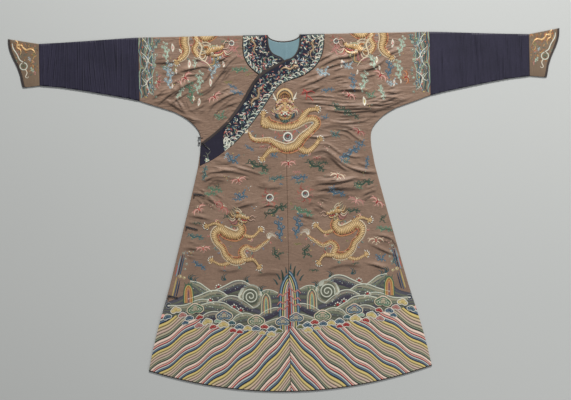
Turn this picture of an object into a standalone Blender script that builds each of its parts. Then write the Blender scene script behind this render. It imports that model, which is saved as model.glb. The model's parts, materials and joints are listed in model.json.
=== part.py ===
"""A mandarin coat: a silk court robe laid flat on its back, front side up.

Every piece that a maker would cut is a thin wall of cloth of its own: two backs, two fronts, the
lower front that laps over the right one, the neckband, the lining behind the neck, the pleated
sleeve ends, the horse-hoof cuffs, the bindings, and the loops and buttons at the side.

Units are metres. X runs from cuff to cuff, with the wearer's left at +X. Y runs from the hem to
the neck. Z points up, out of the front, and the backs lie on z = 0. The origin is at the middle
of the robe's box, on the surface that it lies on.
"""

import math

import bmesh
import bpy
import numpy as np

NAME = "mandarin_coat"

# Driving sizes
SPAN = 2.160                # from cuff tip to cuff tip
LENGTH = 1.4032             # from the line of the cuff tips to the middle of the hem
TIP_X = SPAN / 2
TIP_Y = LENGTH / 2
HEM_Y = -LENGTH / 2
SHOULDER_Y = TIP_Y - 0.0043
SLEEVE_SEAM_X = 0.570       # where the navy sleeve end is sewn on
CUFF_SEAM_X = 0.960
HEM_X = 0.554               # half width of the hem
HEM_RISE = 0.092            # how far the hem's corner is above its middle

# Cloth walls, and the heights at which the layers lie on each other
GAP = 0.0003
WALL = 0.0015
LINING_WALL = 0.0010
BAND_WALL = 0.0020
BINDING_WALL = 0.0024
FRONT_Z = WALL + GAP
NECK_Z = FRONT_Z + LINING_WALL + GAP
LAP_Z = FRONT_Z + WALL + GAP
CROSSING_Z = NECK_Z + BAND_WALL + GAP + 0.0001    # a little more, because the band slopes there

SEAM = GAP / 2              # each half stops this far from a seam
VENT_TOP_Y = -0.216         # the middle front seam is open from here to the hem
VENT_HALF = 0.0009
VENT_RAMP = 0.06            # over which its two edges draw apart

# Levels at which the rows of the body panels change their spacing
UNDERARM_Y = 0.449
WAIST_Y = 0.254
HIP_Y = -0.200

# Columns of points across each body panel, and across its hem binding
LEFT_COLUMNS = 20
RIGHT_COLUMNS = 19
LAP_COLUMNS = 16
BACK_COLUMNS = 8
BAND_SHARES = np.array([0.0, 0.4, 0.7, 1.0])    # points across a band or a cuff
STRIP = (0.0, 1.0)                              # and across a narrow binding

# The flap of the right front under the lap
FLAP_X = -0.020
FLAP_END_Y = -0.340
FLAP_TURN_X = -0.086        # its edge leaves the neckband here, and passes these points
FLAP_SHOULDER = ((-0.062, 0.5280), (-0.040, 0.5210))
LAP_TIP = 0.002             # the lap's upper tip is cut off this far from the middle seam
LAP_FALL_Y = (-0.365, -0.460)   # below the flap the lap comes down over this stretch
LAP_RISE_X = 0.070              # and beside the middle seam the left front rises over this one

# Bindings
NECK_BINDING = 0.005
CUFF_BINDING = 0.008
HEM_BINDING = 0.004
PANEL_END_Y = HEM_Y + HEM_BINDING + GAP

# Outer edge of the body, from the underarm down to the hem
BODY_EDGE = (
    # y       x
    (0.4490, 0.5700),
    (0.4370, 0.5355),
    (0.4283, 0.5113),
    (0.4130, 0.4640),
    (0.4055, 0.4404),
    (0.3790, 0.3915),
    (0.3516, 0.3602),
    (0.3242, 0.3395),
    (0.2928, 0.3330),
    (0.2537, 0.3345),
    (0.1989, 0.3426),
    (0.0736, 0.3735),
    (-0.0517, 0.4060),
    (-0.1691, 0.4369),
    (-0.2866, 0.4680),
    (-0.3884, 0.4988),
    (-0.4964, 0.5290),
    (-0.6096, HEM_X),
)
EDGE_STATIONS = 120

# Neckband from the left shoulder round the neck, then slanting down to the right side.
# Each row is a section from its inner edge to its outer edge. The binding lies along the inner
# edge, and the last two columns are the heights of the band's underside at the two edges.
BAND_SECTIONS = (
    # inner x  inner y   outer x   outer y   binding  inner z     outer z
    (0.0620, SHOULDER_Y, 0.1590, SHOULDER_Y, 0.005, NECK_Z, NECK_Z),
    (0.0605, 0.6680, 0.1565, 0.6520, 0.005, NECK_Z, NECK_Z),
    (0.0540, 0.6400, 0.1470, 0.6120, 0.005, NECK_Z, NECK_Z),
    (0.0420, 0.6185, 0.1270, 0.5770, 0.005, NECK_Z, NECK_Z),
    (0.0260, 0.6055, 0.0960, 0.5490, 0.006, 0.0042, NECK_Z),
    (0.0080, 0.6000, 0.0580, 0.5310, 0.007, CROSSING_Z, LAP_Z),
    (-0.0220, 0.5870, 0.0180, 0.5170, 0.009, CROSSING_Z, LAP_Z),
    (-0.0600, 0.5690, -0.0180, 0.5005, 0.011, CROSSING_Z, LAP_Z),
    (-0.0970, 0.5470, -0.0430, 0.4740, 0.012, CROSSING_Z, LAP_Z),
    (-0.1240, 0.5160, -0.0660, 0.4410, 0.012, 0.0045, LAP_Z),
    (-0.1470, 0.4800, -0.0900, 0.4060, 0.012, LAP_Z, LAP_Z),
    (-0.1720, 0.4390, -0.1180, 0.3680, 0.012, LAP_Z, LAP_Z),
    (-0.2000, 0.4000, -0.1500, 0.3290, 0.012, LAP_Z, LAP_Z),
    (-0.2250, 0.3690, -0.1950, 0.2810, 0.012, LAP_Z, LAP_Z),
    (-0.2470, 0.3465, -0.2430, 0.2435, 0.012, LAP_Z, LAP_Z),
    (-0.2900, 0.3105, -0.2890, 0.2130, 0.012, LAP_Z, LAP_Z),
    (-0.3325, 0.2800, -0.3390, 0.1900, 0.012, LAP_Z, LAP_Z),
)
TAIL_SECTION = 14.0         # the embroidered band ends here and the plain tail begins
TAIL_GAP = 0.008            # in sections
BAND_STATIONS = 33
TAIL_STATIONS = 6

# Neckband on the right shoulder, which ends under the slanting band
UNDER_SECTIONS = (
    # inner x  inner y   outer x   outer y
    (-0.0620, SHOULDER_Y, -0.1590, SHOULDER_Y),
    (-0.0605, 0.6680, -0.1625, 0.6520),
    (-0.0560, 0.6450, -0.1570, 0.6130),
    (-0.0450, 0.6270, -0.1390, 0.5780),
    (-0.0280, 0.6170, -0.1080, 0.5490),
    (-0.0120, 0.6100, -0.0860, 0.5370),
    (0.0000, 0.5980, -0.0600, 0.5440),
)
UNDER_STATIONS = 14

# Neckband behind the neck, between two half ellipses
BACK_BAND_INNER = (0.0620, 0.0255)      # half width, depth
BACK_BAND_OUTER = (0.1600, 0.1230)
BACK_BAND_STATIONS = 17

# Lining that shows in the neck, from the binding behind the neck to this half ellipse
LINING_OUTER = (0.092, 0.136)

# Navy sleeve end, from the seam on the body to the cuff
SLEEVE_SECTIONS = (
    # x       bottom y  top y
    (0.5700, 0.4490, 0.6973),
    (0.6200, 0.4610, 0.6955),
    (0.7000, 0.4765, 0.6915),
    (0.8000, 0.4955, 0.6865),
    (0.8800, 0.5085, 0.6830),
    (0.9600, 0.5165, 0.6802),
)
PLEATS = 40
PLEAT_HEIGHT = 0.0013
PLEAT_MARGIN = 0.004        # plain cloth beside each seam
PLEAT_ROWS = 2

# Horse-hoof cuff, from its lower corner up to its tip: its seam side and its mouth side
CUFF_SECTIONS = (
    # seam y   mouth x  mouth y
    (0.5165, 1.0215, 0.5105),
    (0.5240, 1.0285, 0.5170),
    (0.5600, 1.0345, 0.5540),
    (0.6000, 1.0480, 0.5950),
    (0.6300, 1.0625, 0.6250),
    (0.6550, 1.0745, 0.6560),
    (0.6700, 1.0790, 0.6780),
    (0.6802, TIP_X, TIP_Y),
)
CUFF_STATIONS = 11

# The largest folds of the front. Each is an arc from start to end, with its middle pushed aside
# by "bend", a soft ridge of the given half width and height.
FOLD_FADE = 0.030           # folds die away over this distance from a piece's edge
FOLD_CLEAR = 0.030          # and the right front is flat this far above the slanting edge
ARC_POINTS = 13
FOLDS_RIGHT = (
    # x0      y0       x1       y1      bend    width   height
    (-0.525, 0.608, -0.400, 0.610, 0.004, 0.016, 0.0035),
    (-0.415, 0.556, -0.285, 0.570, 0.010, 0.016, 0.0060),
    (-0.505, 0.430, -0.340, 0.532, 0.012, 0.018, 0.0065),
    (-0.285, 0.596, -0.205, 0.650, -0.010, 0.016, 0.0055),
    (-0.345, 0.466, -0.185, 0.615, -0.016, 0.017, 0.0045),
    (-0.462, 0.446, -0.390, 0.396, 0.004, 0.014, 0.0045),
    (-0.305, 0.398, -0.180, 0.476, 0.016, 0.017, 0.0050),
    (-0.405, 0.388, -0.330, 0.362, 0.004, 0.014, 0.0035),
)
FOLDS_LEFT = (
    (0.140, 0.566, 0.320, 0.630, 0.008, 0.017, 0.0060),
    (0.290, 0.546, 0.400, 0.600, -0.012, 0.016, 0.0060),
    (0.400, 0.606, 0.470, 0.630, 0.000, 0.014, 0.0035),
    (0.060, 0.488, 0.180, 0.540, -0.004, 0.016, 0.0050),
    (0.195, 0.486, 0.330, 0.472, 0.004, 0.015, 0.0035),
    (0.300, 0.410, 0.450, 0.448, -0.006, 0.016, 0.0045),
    (0.170, 0.396, 0.420, 0.402, 0.004, 0.017, 0.0035),
    (0.090, 0.226, 0.245, 0.152, 0.030, 0.018, 0.0040),
    (0.130, 0.110, 0.275, 0.126, 0.000, 0.018, 0.0055),
    (0.345, -0.092, 0.432, -0.148, 0.014, 0.018, 0.0040),
    (0.305, -0.202, 0.395, -0.230, 0.000, 0.018, 0.0050),
)
FOLDS_LAP = (
    (-0.300, 0.160, -0.150, 0.152, 0.010, 0.017, 0.0040),
    (-0.295, 0.055, -0.235, 0.020, 0.006, 0.016, 0.0035),
    (-0.230, 0.018, -0.120, 0.044, 0.000, 0.017, 0.0040),
    (-0.340, -0.012, -0.270, -0.028, 0.000, 0.016, 0.0035),
    (-0.330, -0.128, -0.260, -0.150, 0.004, 0.016, 0.0030),
)

# Loops and ball buttons down the right side: the loop runs from its sewn end to its eye
CORD_RADIUS = 0.0015
EYE_RADIUS = 0.0036
EYE_NECK = 0.004            # from the eye to where the two legs run side by side
LEG_SPREAD = 0.0019
BALL_RADIUS = 0.0042
STEM_RADIUS = 0.0012
SIDE_FASTENINGS = (
    # sewn x   sewn y   eye x    eye y
    (-0.317, 0.074, -0.3620, 0.0790),
    (-0.350, -0.060, -0.3945, -0.0480),
    (-0.433, -0.325, -0.4700, -0.3170),
)
ARMPIT_BUTTONS = (
    # x      y       length from the ball's middle to the stem's end
    (-0.3396, 0.3000, 0.0160),      # its stem lies on the right front
    (-0.3396, 0.2800, 0.0064),      # its stem meets the end of the binding
)
ARMPIT_LOOP = (-0.3270, 0.2790, -0.3030, 0.2560)    # from the edge to its sewn end
ARMPIT_CORD_RADIUS = 0.0010
ARMPIT_EYE_RADIUS = 0.0024

# Colour, roughness and metallic value of each cloth
FINISHES = {
    "brown_satin": ((0.280, 0.188, 0.143), 0.55, 0.0),
    "navy_silk": ((0.026, 0.023, 0.046), 0.60, 0.0),
    "neckband_embroidery": ((0.035, 0.040, 0.075), 0.65, 0.0),
    "blue_lining": ((0.205, 0.375, 0.430), 0.60, 0.0),
    "dark_binding": ((0.040, 0.028, 0.026), 0.60, 0.0),
    "cuff_brocade": ((0.240, 0.170, 0.125), 0.55, 0.0),
    "black_cord": ((0.018, 0.016, 0.018), 0.70, 0.0),
}


def smooth_step(value, low, high):
    """0 below low, 1 above high, and a soft S between them."""
    t = np.clip((np.asarray(value, float) - low) / (high - low), 0.0, 1.0)
    return t * t * (3.0 - 2.0 * t)


def smooth_rows(table, stops):
    """Rows read from a smooth curve through a table's rows, at stops counted in rows."""
    rows = np.array(table, float)
    ends = np.vstack([2 * rows[0] - rows[1], rows, 2 * rows[-1] - rows[-2]])
    result = []
    for stop in stops:
        k = min(int(stop), len(rows) - 2)
        t = stop - k
        a, b, c, d = ends[k:k + 4]
        result.append(0.5 * (2 * b + (c - a) * t + (2 * a - 5 * b + 4 * c - d) * t ** 2
                             + (3 * b - a - 3 * c + d) * t ** 3))
    return np.array(result)


EDGE_LINE = smooth_rows(BODY_EDGE, np.linspace(0, len(BODY_EDGE) - 1, EDGE_STATIONS))


def body_edge(y):
    """Half width of the body at height y."""
    return float(np.interp(y, EDGE_LINE[::-1, 0], EDGE_LINE[::-1, 1]))


def moved_aside(line, distance):
    """A line moved to its left by a distance, point for point."""
    along = np.gradient(line, axis=0)
    along /= np.linalg.norm(along, axis=1)[:, None]
    return line + distance * np.column_stack([-along[:, 1], along[:, 0]])


def distance_to_line(points, line):
    """Distance from each point to the nearest place on a line of straight runs."""
    nearest = np.full(len(points), np.inf)
    for a, b in zip(line[:-1], line[1:]):
        run = b - a
        t = np.clip(((points - a) @ run) / max(run @ run, 1e-12), 0.0, 1.0)
        nearest = np.minimum(nearest, np.linalg.norm(points - a - t[:, None] * run, axis=1))
    return nearest


def fold_heights(points, folds):
    """How far a set of folds lifts the cloth at each point."""
    lift = np.zeros(len(points))
    for x0, y0, x1, y1, bend, width, height in folds:
        start, end = np.array([x0, y0]), np.array([x1, y1])
        side = np.array([y0 - y1, x1 - x0]) / math.hypot(x1 - x0, y1 - y0)
        t = np.linspace(0.0, 1.0, ARC_POINTS)[:, None]
        arc = start + (end - start) * t + side * bend * 4 * t * (1 - t)
        along = np.clip(((points - start) @ (end - start)) / ((end - start) @ (end - start)), 0, 1)
        taper = np.sin(math.pi * np.clip(along, 0.04, 0.96)) ** 0.5
        ridge = height * taper * np.exp(-(distance_to_line(points, arc) / width) ** 2)
        lift = np.maximum(lift, ridge)
    return lift


def section_grid(starts, ends, shares, bowed=False):
    """Points of straight sections, or of sections that bow up as a hem does, row by row."""
    grid = np.empty((len(starts), len(shares), 2))
    for r, (start, end) in enumerate(zip(starts, ends)):
        for c, share in enumerate(shares):
            grid[r, c, 0] = start[0] + (end[0] - start[0]) * share
            grid[r, c, 1] = start[1] + (end[1] - start[1]) * (share ** 2 if bowed else share)
    return grid


def make_collection():
    """An empty scene, and a collection for the robe."""
    for thing in list(bpy.data.objects):
        bpy.data.objects.remove(thing, do_unlink=True)
    collection = bpy.data.collections.new(NAME)
    bpy.context.scene.collection.children.link(collection)
    return collection


ROBE = make_collection()


def finish_material(finish):
    """The material of one finish, made the first time it is asked for."""
    if finish in bpy.data.materials:
        return bpy.data.materials[finish]
    colour, roughness, metallic = FINISHES[finish]
    material = bpy.data.materials.new(finish)
    material.use_nodes = True
    shader = material.node_tree.nodes["Principled BSDF"]
    shader.inputs["Base Color"].default_value = (*colour, 1.0)
    shader.inputs["Roughness"].default_value = roughness
    shader.inputs["Metallic"].default_value = metallic
    return material


def keep(obj, finish):
    """Give an object its finish and put it with the robe."""
    obj.data.materials.clear()
    obj.data.materials.append(finish_material(finish))
    for home in list(obj.users_collection):
        home.objects.unlink(obj)
    ROBE.objects.link(obj)
    return obj


def cloth(name, grid, heights, wall, finish):
    """A wall of cloth on a grid of points: its underside at the given heights, its top above."""
    rows, columns = grid.shape[:2]
    mesh_builder = bmesh.new()
    bmesh.ops.create_grid(mesh_builder, x_segments=columns - 1, y_segments=rows - 1, size=1.0)
    heights = np.broadcast_to(heights, (rows, columns))
    for vert in mesh_builder.verts:
        c = round((vert.co.x + 1) / 2 * (columns - 1))
        r = round((vert.co.y + 1) / 2 * (rows - 1))
        vert.co = (*grid[r, c], heights[r, c])
    mesh_builder.normal_update()
    if sum(face.normal.z * face.calc_area() for face in mesh_builder.faces) < 0:
        bmesh.ops.reverse_faces(mesh_builder, faces=mesh_builder.faces)
    mesh = bpy.data.meshes.new(name)
    mesh_builder.to_mesh(mesh)
    mesh_builder.free()
    obj = bpy.data.objects.new(name, mesh)
    keep(obj, finish)
    solid = obj.modifiers.new("wall", "SOLIDIFY")
    solid.thickness = wall
    solid.offset = 1.0
    return obj


def folded_cloth(name, grid, base, folds, finish, still=None):
    """A body panel: its base heights, and folds that fade towards its edges."""
    points = grid.reshape(-1, 2)
    outline = np.vstack([grid[0], grid[1:, -1], grid[-1, -2::-1], grid[-2::-1, 0]])
    fade = smooth_step(distance_to_line(points, outline), 0.0, FOLD_FADE)
    if still is not None:
        fade = fade * still(points)
    heights = base(points) + fade * fold_heights(points, folds)
    return cloth(name, grid, heights.reshape(grid.shape[:2]), WALL, finish)


# Where the neckband's sections are read
BAND_STOPS = np.linspace(0.0, TAIL_SECTION, BAND_STATIONS)
TAIL_STOPS = np.linspace(TAIL_SECTION + TAIL_GAP, len(BAND_SECTIONS) - 1, TAIL_STATIONS)
BAND_ROWS = smooth_rows(BAND_SECTIONS, BAND_STOPS)
TAIL_ROWS = smooth_rows(BAND_SECTIONS, TAIL_STOPS)
LAP_ROWS = np.vstack([BAND_ROWS, TAIL_ROWS])
UNDER_ROWS = smooth_rows(UNDER_SECTIONS, np.linspace(0, len(UNDER_SECTIONS) - 1, UNDER_STATIONS))


def behind_neck(size):
    """Points of a half ellipse behind the neck, from the left shoulder to the right one."""
    turns = np.linspace(0.0, math.pi, BACK_BAND_STATIONS)
    return np.column_stack([size[0] * np.cos(turns), SHOULDER_Y - size[1] * np.sin(turns)])


def across_band(inner, outer):
    """Unit directions from a band's inner edge to its outer edge."""
    return (outer - inner) / np.linalg.norm(outer - inner, axis=1)[:, None]


def up_to_seam(line):
    """The stretch of a line at the left of the middle seam, ended on the seam."""
    left = line[line[:, 0] > SEAM]
    past = line[len(left)]
    share = (left[-1, 0] - SEAM) / (left[-1, 0] - past[0])
    return np.vstack([left, left[-1] + (past - left[-1]) * share])


def rows_down(levels):
    """Heights from a list of (y, number of rows down to the next y), the last y included."""
    heights = []
    for (y, count), (below, _) in zip(levels[:-1], levels[1:]):
        heights.extend(np.linspace(y, below, count, endpoint=False))
    heights.append(levels[-1][0])
    return heights


def closed_seam(y):
    """Distance of a panel's edge from a seam that is sewn all the way."""
    return SEAM


def front_seam(y):
    """Distance of a front's edge from the middle seam, which is open below the vent's top."""
    return SEAM + (VENT_HALF - SEAM) * float(smooth_step(-y, -VENT_TOP_Y, VENT_RAMP - VENT_TOP_Y))


def body_rows(inner_line, levels, inner_x, side):
    """Row ends of a body panel: first along a curved inner edge, then down a straight one.

    The rows bow up more and more towards the hem. The last row leaves room for the hem binding.
    """
    starts, ends = [], []
    for x, y in inner_line:
        starts.append((x, y))
        ends.append((side * (body_edge(y) - SEAM), y))
    for y in rows_down(levels):
        bow = HEM_RISE * float(smooth_step(y, WAIST_Y, HEM_Y))
        starts.append((side * inner_x(y), y))
        ends.append((side * (body_edge(y + bow) - SEAM), y + bow))
    return starts, ends


def lap_level(y):
    """Height of the lap's underside: on the flap, and lower down on the back itself."""
    return LAP_Z - (LAP_Z - FRONT_Z) * smooth_step(-y, -LAP_FALL_Y[0], -LAP_FALL_Y[1])


def make_backs():
    """Two halves of the back, flat on the surface, joined at the middle seam."""
    edge = up_to_seam(moved_aside(behind_neck(BACK_BAND_OUTER), GAP))
    levels = ((0.562, 3), (UNDERARM_Y, 12), (WAIST_Y, 6), (HIP_Y, 6), (PANEL_END_Y, 1))
    for name, side in (("back_left", 1), ("back_right", -1)):
        starts, ends = body_rows(edge * (side, 1), levels, closed_seam, side)
        grid = section_grid(starts, ends, np.linspace(0, 1, BACK_COLUMNS), bowed=True)
        cloth(name, grid, 0.0, WALL, "brown_satin")


def make_back_neck():
    """Neckband behind the neck, its binding, and the lining that shows in front of it."""
    inner, outer = behind_neck(BACK_BAND_INNER), behind_neck(BACK_BAND_OUTER)
    across = across_band(inner, outer)
    bound = inner + across * NECK_BINDING
    cloth("neckband_back", section_grid(bound + across * GAP, outer, BAND_SHARES), 0.0,
          WALL, "neckband_embroidery")
    cloth("neck_binding_back", section_grid(inner, bound, STRIP), 0.0,
          NECK_Z - GAP, "dark_binding")
    lining = section_grid(bound + across * GAP, behind_neck(LINING_OUTER), BAND_SHARES)
    cloth("lining_back", lining, FRONT_Z, LINING_WALL, "blue_lining")


def make_front_left():
    """The left front, from the neckband and the middle seam out to the left sleeve."""
    edge = up_to_seam(moved_aside(LAP_ROWS[:, 2:4], GAP))
    levels = ((0.490, 3), (UNDERARM_Y, 13), (WAIST_Y, 12), (HIP_Y, 7), (PANEL_END_Y, 1))
    starts, ends = body_rows(edge, levels, front_seam, 1)
    grid = section_grid(starts, ends, np.linspace(0, 1, LEFT_COLUMNS), bowed=True)

    def base(points):
        near_seam = 1 - smooth_step(points[:, 0], 0.0, LAP_RISE_X)
        return FRONT_Z + (lap_level(points[:, 1]) - FRONT_Z) * near_seam

    folded_cloth("front_left", grid, base, FOLDS_LEFT, "brown_satin")


def make_front_right():
    """The right front with its sleeve, running on under the lap as a flat flap."""
    edge = moved_aside(UNDER_ROWS[:, 2:4], -GAP)
    edge = np.vstack([edge[edge[:, 0] < FLAP_TURN_X], FLAP_SHOULDER])
    levels = ((0.513, 4), (UNDERARM_Y, 13), (WAIST_Y, 3), (0.080, 4), (FLAP_END_Y, 1))
    starts, ends = body_rows(edge, levels, lambda y: -FLAP_X, -1)
    grid = section_grid(starts, ends, np.linspace(0, 1, RIGHT_COLUMNS), bowed=True)
    lap_line = LAP_ROWS[::-1, 0:2]

    def above_lap(points):
        rise = points[:, 1] - np.interp(points[:, 0], lap_line[:, 0], lap_line[:, 1])
        return smooth_step(rise, FOLD_CLEAR, FOLD_CLEAR + FOLD_FADE * math.sqrt(2))

    folded_cloth("front_right", grid, lambda points: FRONT_Z, FOLDS_RIGHT, "brown_satin",
                 above_lap)


def make_front_lap():
    """The lower front that laps over the right one, from the middle seam to the right side."""
    edge = moved_aside(LAP_ROWS[:, 2:4], GAP)
    ends = [tuple(point) for point in edge if point[0] < -LAP_TIP]
    starts = [(-SEAM, y) for _, y in ends]
    levels = ((0.165, 9), (HIP_Y, 7), (PANEL_END_Y, 1))
    more_starts, more_ends = body_rows((), levels, front_seam, -1)
    grid = section_grid(starts + more_starts, ends + more_ends,
                        np.linspace(0, 1, LAP_COLUMNS), bowed=True)
    folded_cloth("front_lap", grid, lambda points: lap_level(points[:, 1]), FOLDS_LAP,
                 "brown_satin")


def slanting_band(name, rows, finish):
    """A stretch of the slanting neckband, beside its binding, higher where it lies on more."""
    inner, outer = rows[:, 0:2], rows[:, 2:4]
    across = across_band(inner, outer)
    grid = section_grid(inner + across * (rows[:, 4:5] + GAP), outer, BAND_SHARES)
    inner_z, outer_z = rows[:, 5:6], rows[:, 6:7]
    heights = inner_z + (outer_z - inner_z) * smooth_step(BAND_SHARES, 0.35, 1.0)
    cloth(name, grid, heights, BAND_WALL, finish)


def make_neckbands():
    """Neckband and slanting band, the plain tail, and the binding along their upper edge."""
    slanting_band("neckband_over", BAND_ROWS, "neckband_embroidery")
    slanting_band("band_tail", TAIL_ROWS, "navy_silk")
    inner, outer = LAP_ROWS[:, 0:2], LAP_ROWS[:, 2:4]
    bound = inner + across_band(inner, outer) * LAP_ROWS[:, 4:5]
    cloth("lap_binding", section_grid(inner, bound, STRIP), LAP_ROWS[:, 5:6], BINDING_WALL,
          "dark_binding")

    inner, outer = UNDER_ROWS[:, 0:2], UNDER_ROWS[:, 2:4]
    across = across_band(inner, outer)
    bound = inner + across * NECK_BINDING
    cloth("neckband_under", section_grid(bound + across * GAP, outer, BAND_SHARES), NECK_Z,
          BAND_WALL, "neckband_embroidery")
    cloth("neck_binding_under", section_grid(inner, bound, STRIP), NECK_Z, BAND_WALL,
          "dark_binding")


def make_sleeve_end(name, side, z, pleats):
    """Half of a navy sleeve end: pleated across in front, plain behind."""
    table = np.array(SLEEVE_SECTIONS)
    start, end = SLEEVE_SEAM_X + SEAM, CUFF_SEAM_X - SEAM
    xs = np.array([start, *table[1:-1, 0], end])
    if pleats:
        xs = np.linspace(start + PLEAT_MARGIN, end - PLEAT_MARGIN, 2 * pleats + 1)
        wander = 0.22 * (xs[1] - xs[0]) * np.sin(np.arange(len(xs)) * 2.4)
        xs[1:-1] += wander[1:-1]
        xs = np.array([start, *xs, end])
    low = np.interp(xs, table[:, 0], table[:, 1])
    high = np.interp(xs, table[:, 0], table[:, 2])
    grid = section_grid(np.column_stack([xs, low]), np.column_stack([xs, high]),
                        np.linspace(0, 1, PLEAT_ROWS + 1))
    rows = np.arange(PLEAT_ROWS + 1)[None, :]
    number = np.arange(len(xs))[:, None]
    crest = (number % 2 == 0) & (number > 0) & (number <= 2 * pleats)
    share = 0.65 + 0.35 * np.sin(number * 1.7 + rows * 1.3)     # no two pleats are as high
    heights = z + PLEAT_HEIGHT * crest * share
    grid[:, :, 0] *= side
    cloth(name, grid, heights, WALL, "navy_silk")


def make_cuff(name, side, z):
    """Half of a horse-hoof cuff and the binding of its mouth."""
    table = smooth_rows(CUFF_SECTIONS, np.linspace(0, len(CUFF_SECTIONS) - 1, CUFF_STATIONS))
    seam = np.column_stack([np.full(len(table), CUFF_SEAM_X + SEAM), table[:, 0]])
    mouth = table[:, 1:3]
    back = (seam - mouth) / np.linalg.norm(seam - mouth, axis=1)[:, None]
    bound = mouth + back * CUFF_BINDING
    flip = (side, 1)
    grid = section_grid(seam * flip, (bound + back * GAP) * flip, BAND_SHARES)
    cloth("cuff_" + name, grid, z, WALL, "cuff_brocade")
    grid = section_grid(bound * flip, mouth * flip, STRIP)
    cloth("cuff_binding_" + name, grid, z, WALL, "dark_binding")


def make_sleeves():
    """Sleeve ends and cuffs, in front and behind, on both sides."""
    for hand, side in (("left", 1), ("right", -1)):
        make_sleeve_end("sleeve_front_" + hand, side, FRONT_Z, PLEATS)
        make_sleeve_end("sleeve_back_" + hand, side, 0.0, 0)
        make_cuff("front_" + hand, side, FRONT_Z)
        make_cuff("back_" + hand, side, 0.0)


def make_hem_bindings():
    """A narrow binding along the lower edge of each front and back."""
    for name, z, columns, side, seam in (
            ("front_left", FRONT_Z, LEFT_COLUMNS, 1, front_seam),
            ("front_right", FRONT_Z, LAP_COLUMNS, -1, front_seam),
            ("back_left", 0.0, BACK_COLUMNS, 1, closed_seam),
            ("back_right", 0.0, BACK_COLUMNS, -1, closed_seam)):
        shares = np.linspace(0, 1, columns)
        start = seam(HEM_Y)
        xs = side * (start + (HEM_X - start) * shares)
        low = HEM_Y + HEM_RISE * shares ** 2
        grid = section_grid(np.column_stack([xs, low]),
                            np.column_stack([xs, low + HEM_BINDING]), STRIP)
        cloth("hem_binding_" + name, grid, z, WALL, "dark_binding")


def cord(name, points, radius, finish):
    """A round cord along a line of points."""
    curve = bpy.data.curves.new(name, "CURVE")
    curve.dimensions = "3D"
    spline = curve.splines.new("POLY")
    spline.points.add(len(points) - 1)
    for spot, point in zip(spline.points, points):
        spot.co = (*point, 1.0)
    curve.bevel_depth = radius
    curve.bevel_resolution = 2
    curve.use_fill_caps = True
    return keep(bpy.data.objects.new(name, curve), finish)


def hairpin(sewn, eye, eye_radius, z):
    """A cord's route: up one leg, round the eye and back down the other leg."""
    sewn, eye = np.array(sewn), np.array(eye)
    along = (eye - sewn) / np.linalg.norm(eye - sewn)
    aside = np.array([-along[1], along[0]])
    route = [sewn + aside * LEG_SPREAD, (sewn + eye) / 2 + aside * LEG_SPREAD,
             eye - along * (eye_radius + EYE_NECK) + aside * LEG_SPREAD]
    for turn in np.radians((130, 95, 60, 25, -25, -60, -95, -130)):
        route.append(eye + eye_radius * (along * math.cos(turn) + aside * math.sin(turn)))
    route += [eye - along * (eye_radius + EYE_NECK) - aside * LEG_SPREAD,
              (sewn + eye) / 2 - aside * LEG_SPREAD, sewn - aside * LEG_SPREAD]
    return [(x, y, z) for x, y in route]


def ball_button(name, ball, stem_length):
    """A ball with a stem below it, turned round the ball's own axis."""
    profile = [(0.0, BALL_RADIUS)]
    neck = math.pi - math.asin(STEM_RADIUS / BALL_RADIUS)
    for turn in np.linspace(0.35, neck, 9):
        profile.append((BALL_RADIUS * math.sin(turn), BALL_RADIUS * math.cos(turn)))
    profile += [(STEM_RADIUS, -stem_length), (0.0, -stem_length)]
    mesh = bpy.data.meshes.new(name)
    edges = [(i, i + 1) for i in range(len(profile) - 1)]
    mesh.from_pydata([(r, 0.0, z) for r, z in profile], edges, [])
    obj = keep(bpy.data.objects.new(name, mesh), "black_cord")
    obj.location = ball
    turn = obj.modifiers.new("turn", "SCREW")
    turn.steps = turn.render_steps = 12
    turn.use_merge_vertices = True
    turn.merge_threshold = 0.00005
    return obj


def make_side_fastenings():
    """Three loops with ball buttons down the right side."""
    for number, (sewn_x, sewn_y, eye_x, eye_y) in enumerate(SIDE_FASTENINGS, start=1):
        top = float(lap_level(eye_y)) + WALL + GAP
        cord_z = top + CORD_RADIUS
        cord(f"loop_side_{number}", hairpin((sewn_x, sewn_y), (eye_x, eye_y), EYE_RADIUS, cord_z),
             CORD_RADIUS, "black_cord")
        seat = math.sqrt((BALL_RADIUS + CORD_RADIUS + GAP) ** 2 - EYE_RADIUS ** 2)
        ball_z = cord_z + seat
        ball_button(f"button_side_{number}", (eye_x, eye_y, ball_z), ball_z - top)


def make_armpit_fastening():
    """Two ball buttons that look out at the armpit, their stems on the cloth, and a thin loop."""
    for number, (x, y, stem) in enumerate(ARMPIT_BUTTONS, start=1):
        z = FRONT_Z + WALL + GAP + STEM_RADIUS
        button = ball_button(f"button_armpit_{number}", (x, y, z), stem)
        button.rotation_euler = (0.0, math.radians(-90), 0.0)
    z = LAP_Z + BINDING_WALL + GAP + ARMPIT_CORD_RADIUS
    x0, y0, x1, y1 = ARMPIT_LOOP
    cord("loop_armpit", hairpin((x1, y1), (x0, y0), ARMPIT_EYE_RADIUS, z), ARMPIT_CORD_RADIUS,
         "black_cord")


def main():
    make_backs()
    make_back_neck()
    make_front_left()
    make_front_right()
    make_front_lap()
    make_neckbands()
    make_sleeves()
    make_hem_bindings()
    make_side_fastenings()
    make_armpit_fastening()


main()
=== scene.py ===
# %% [markdown]
# # A mandarin coat, laid flat
# This lesson dresses a flat court robe: thin silk over each cut piece, creases pressed into it by
# hand, and embroidery raised on top. The cut pieces come from a fixed frame, which says where every
# edge is, so nothing here has to be measured twice.

import json
import math

import bpy
import numpy as np
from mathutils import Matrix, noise
from mathutils.bvhtree import BVHTree

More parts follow.
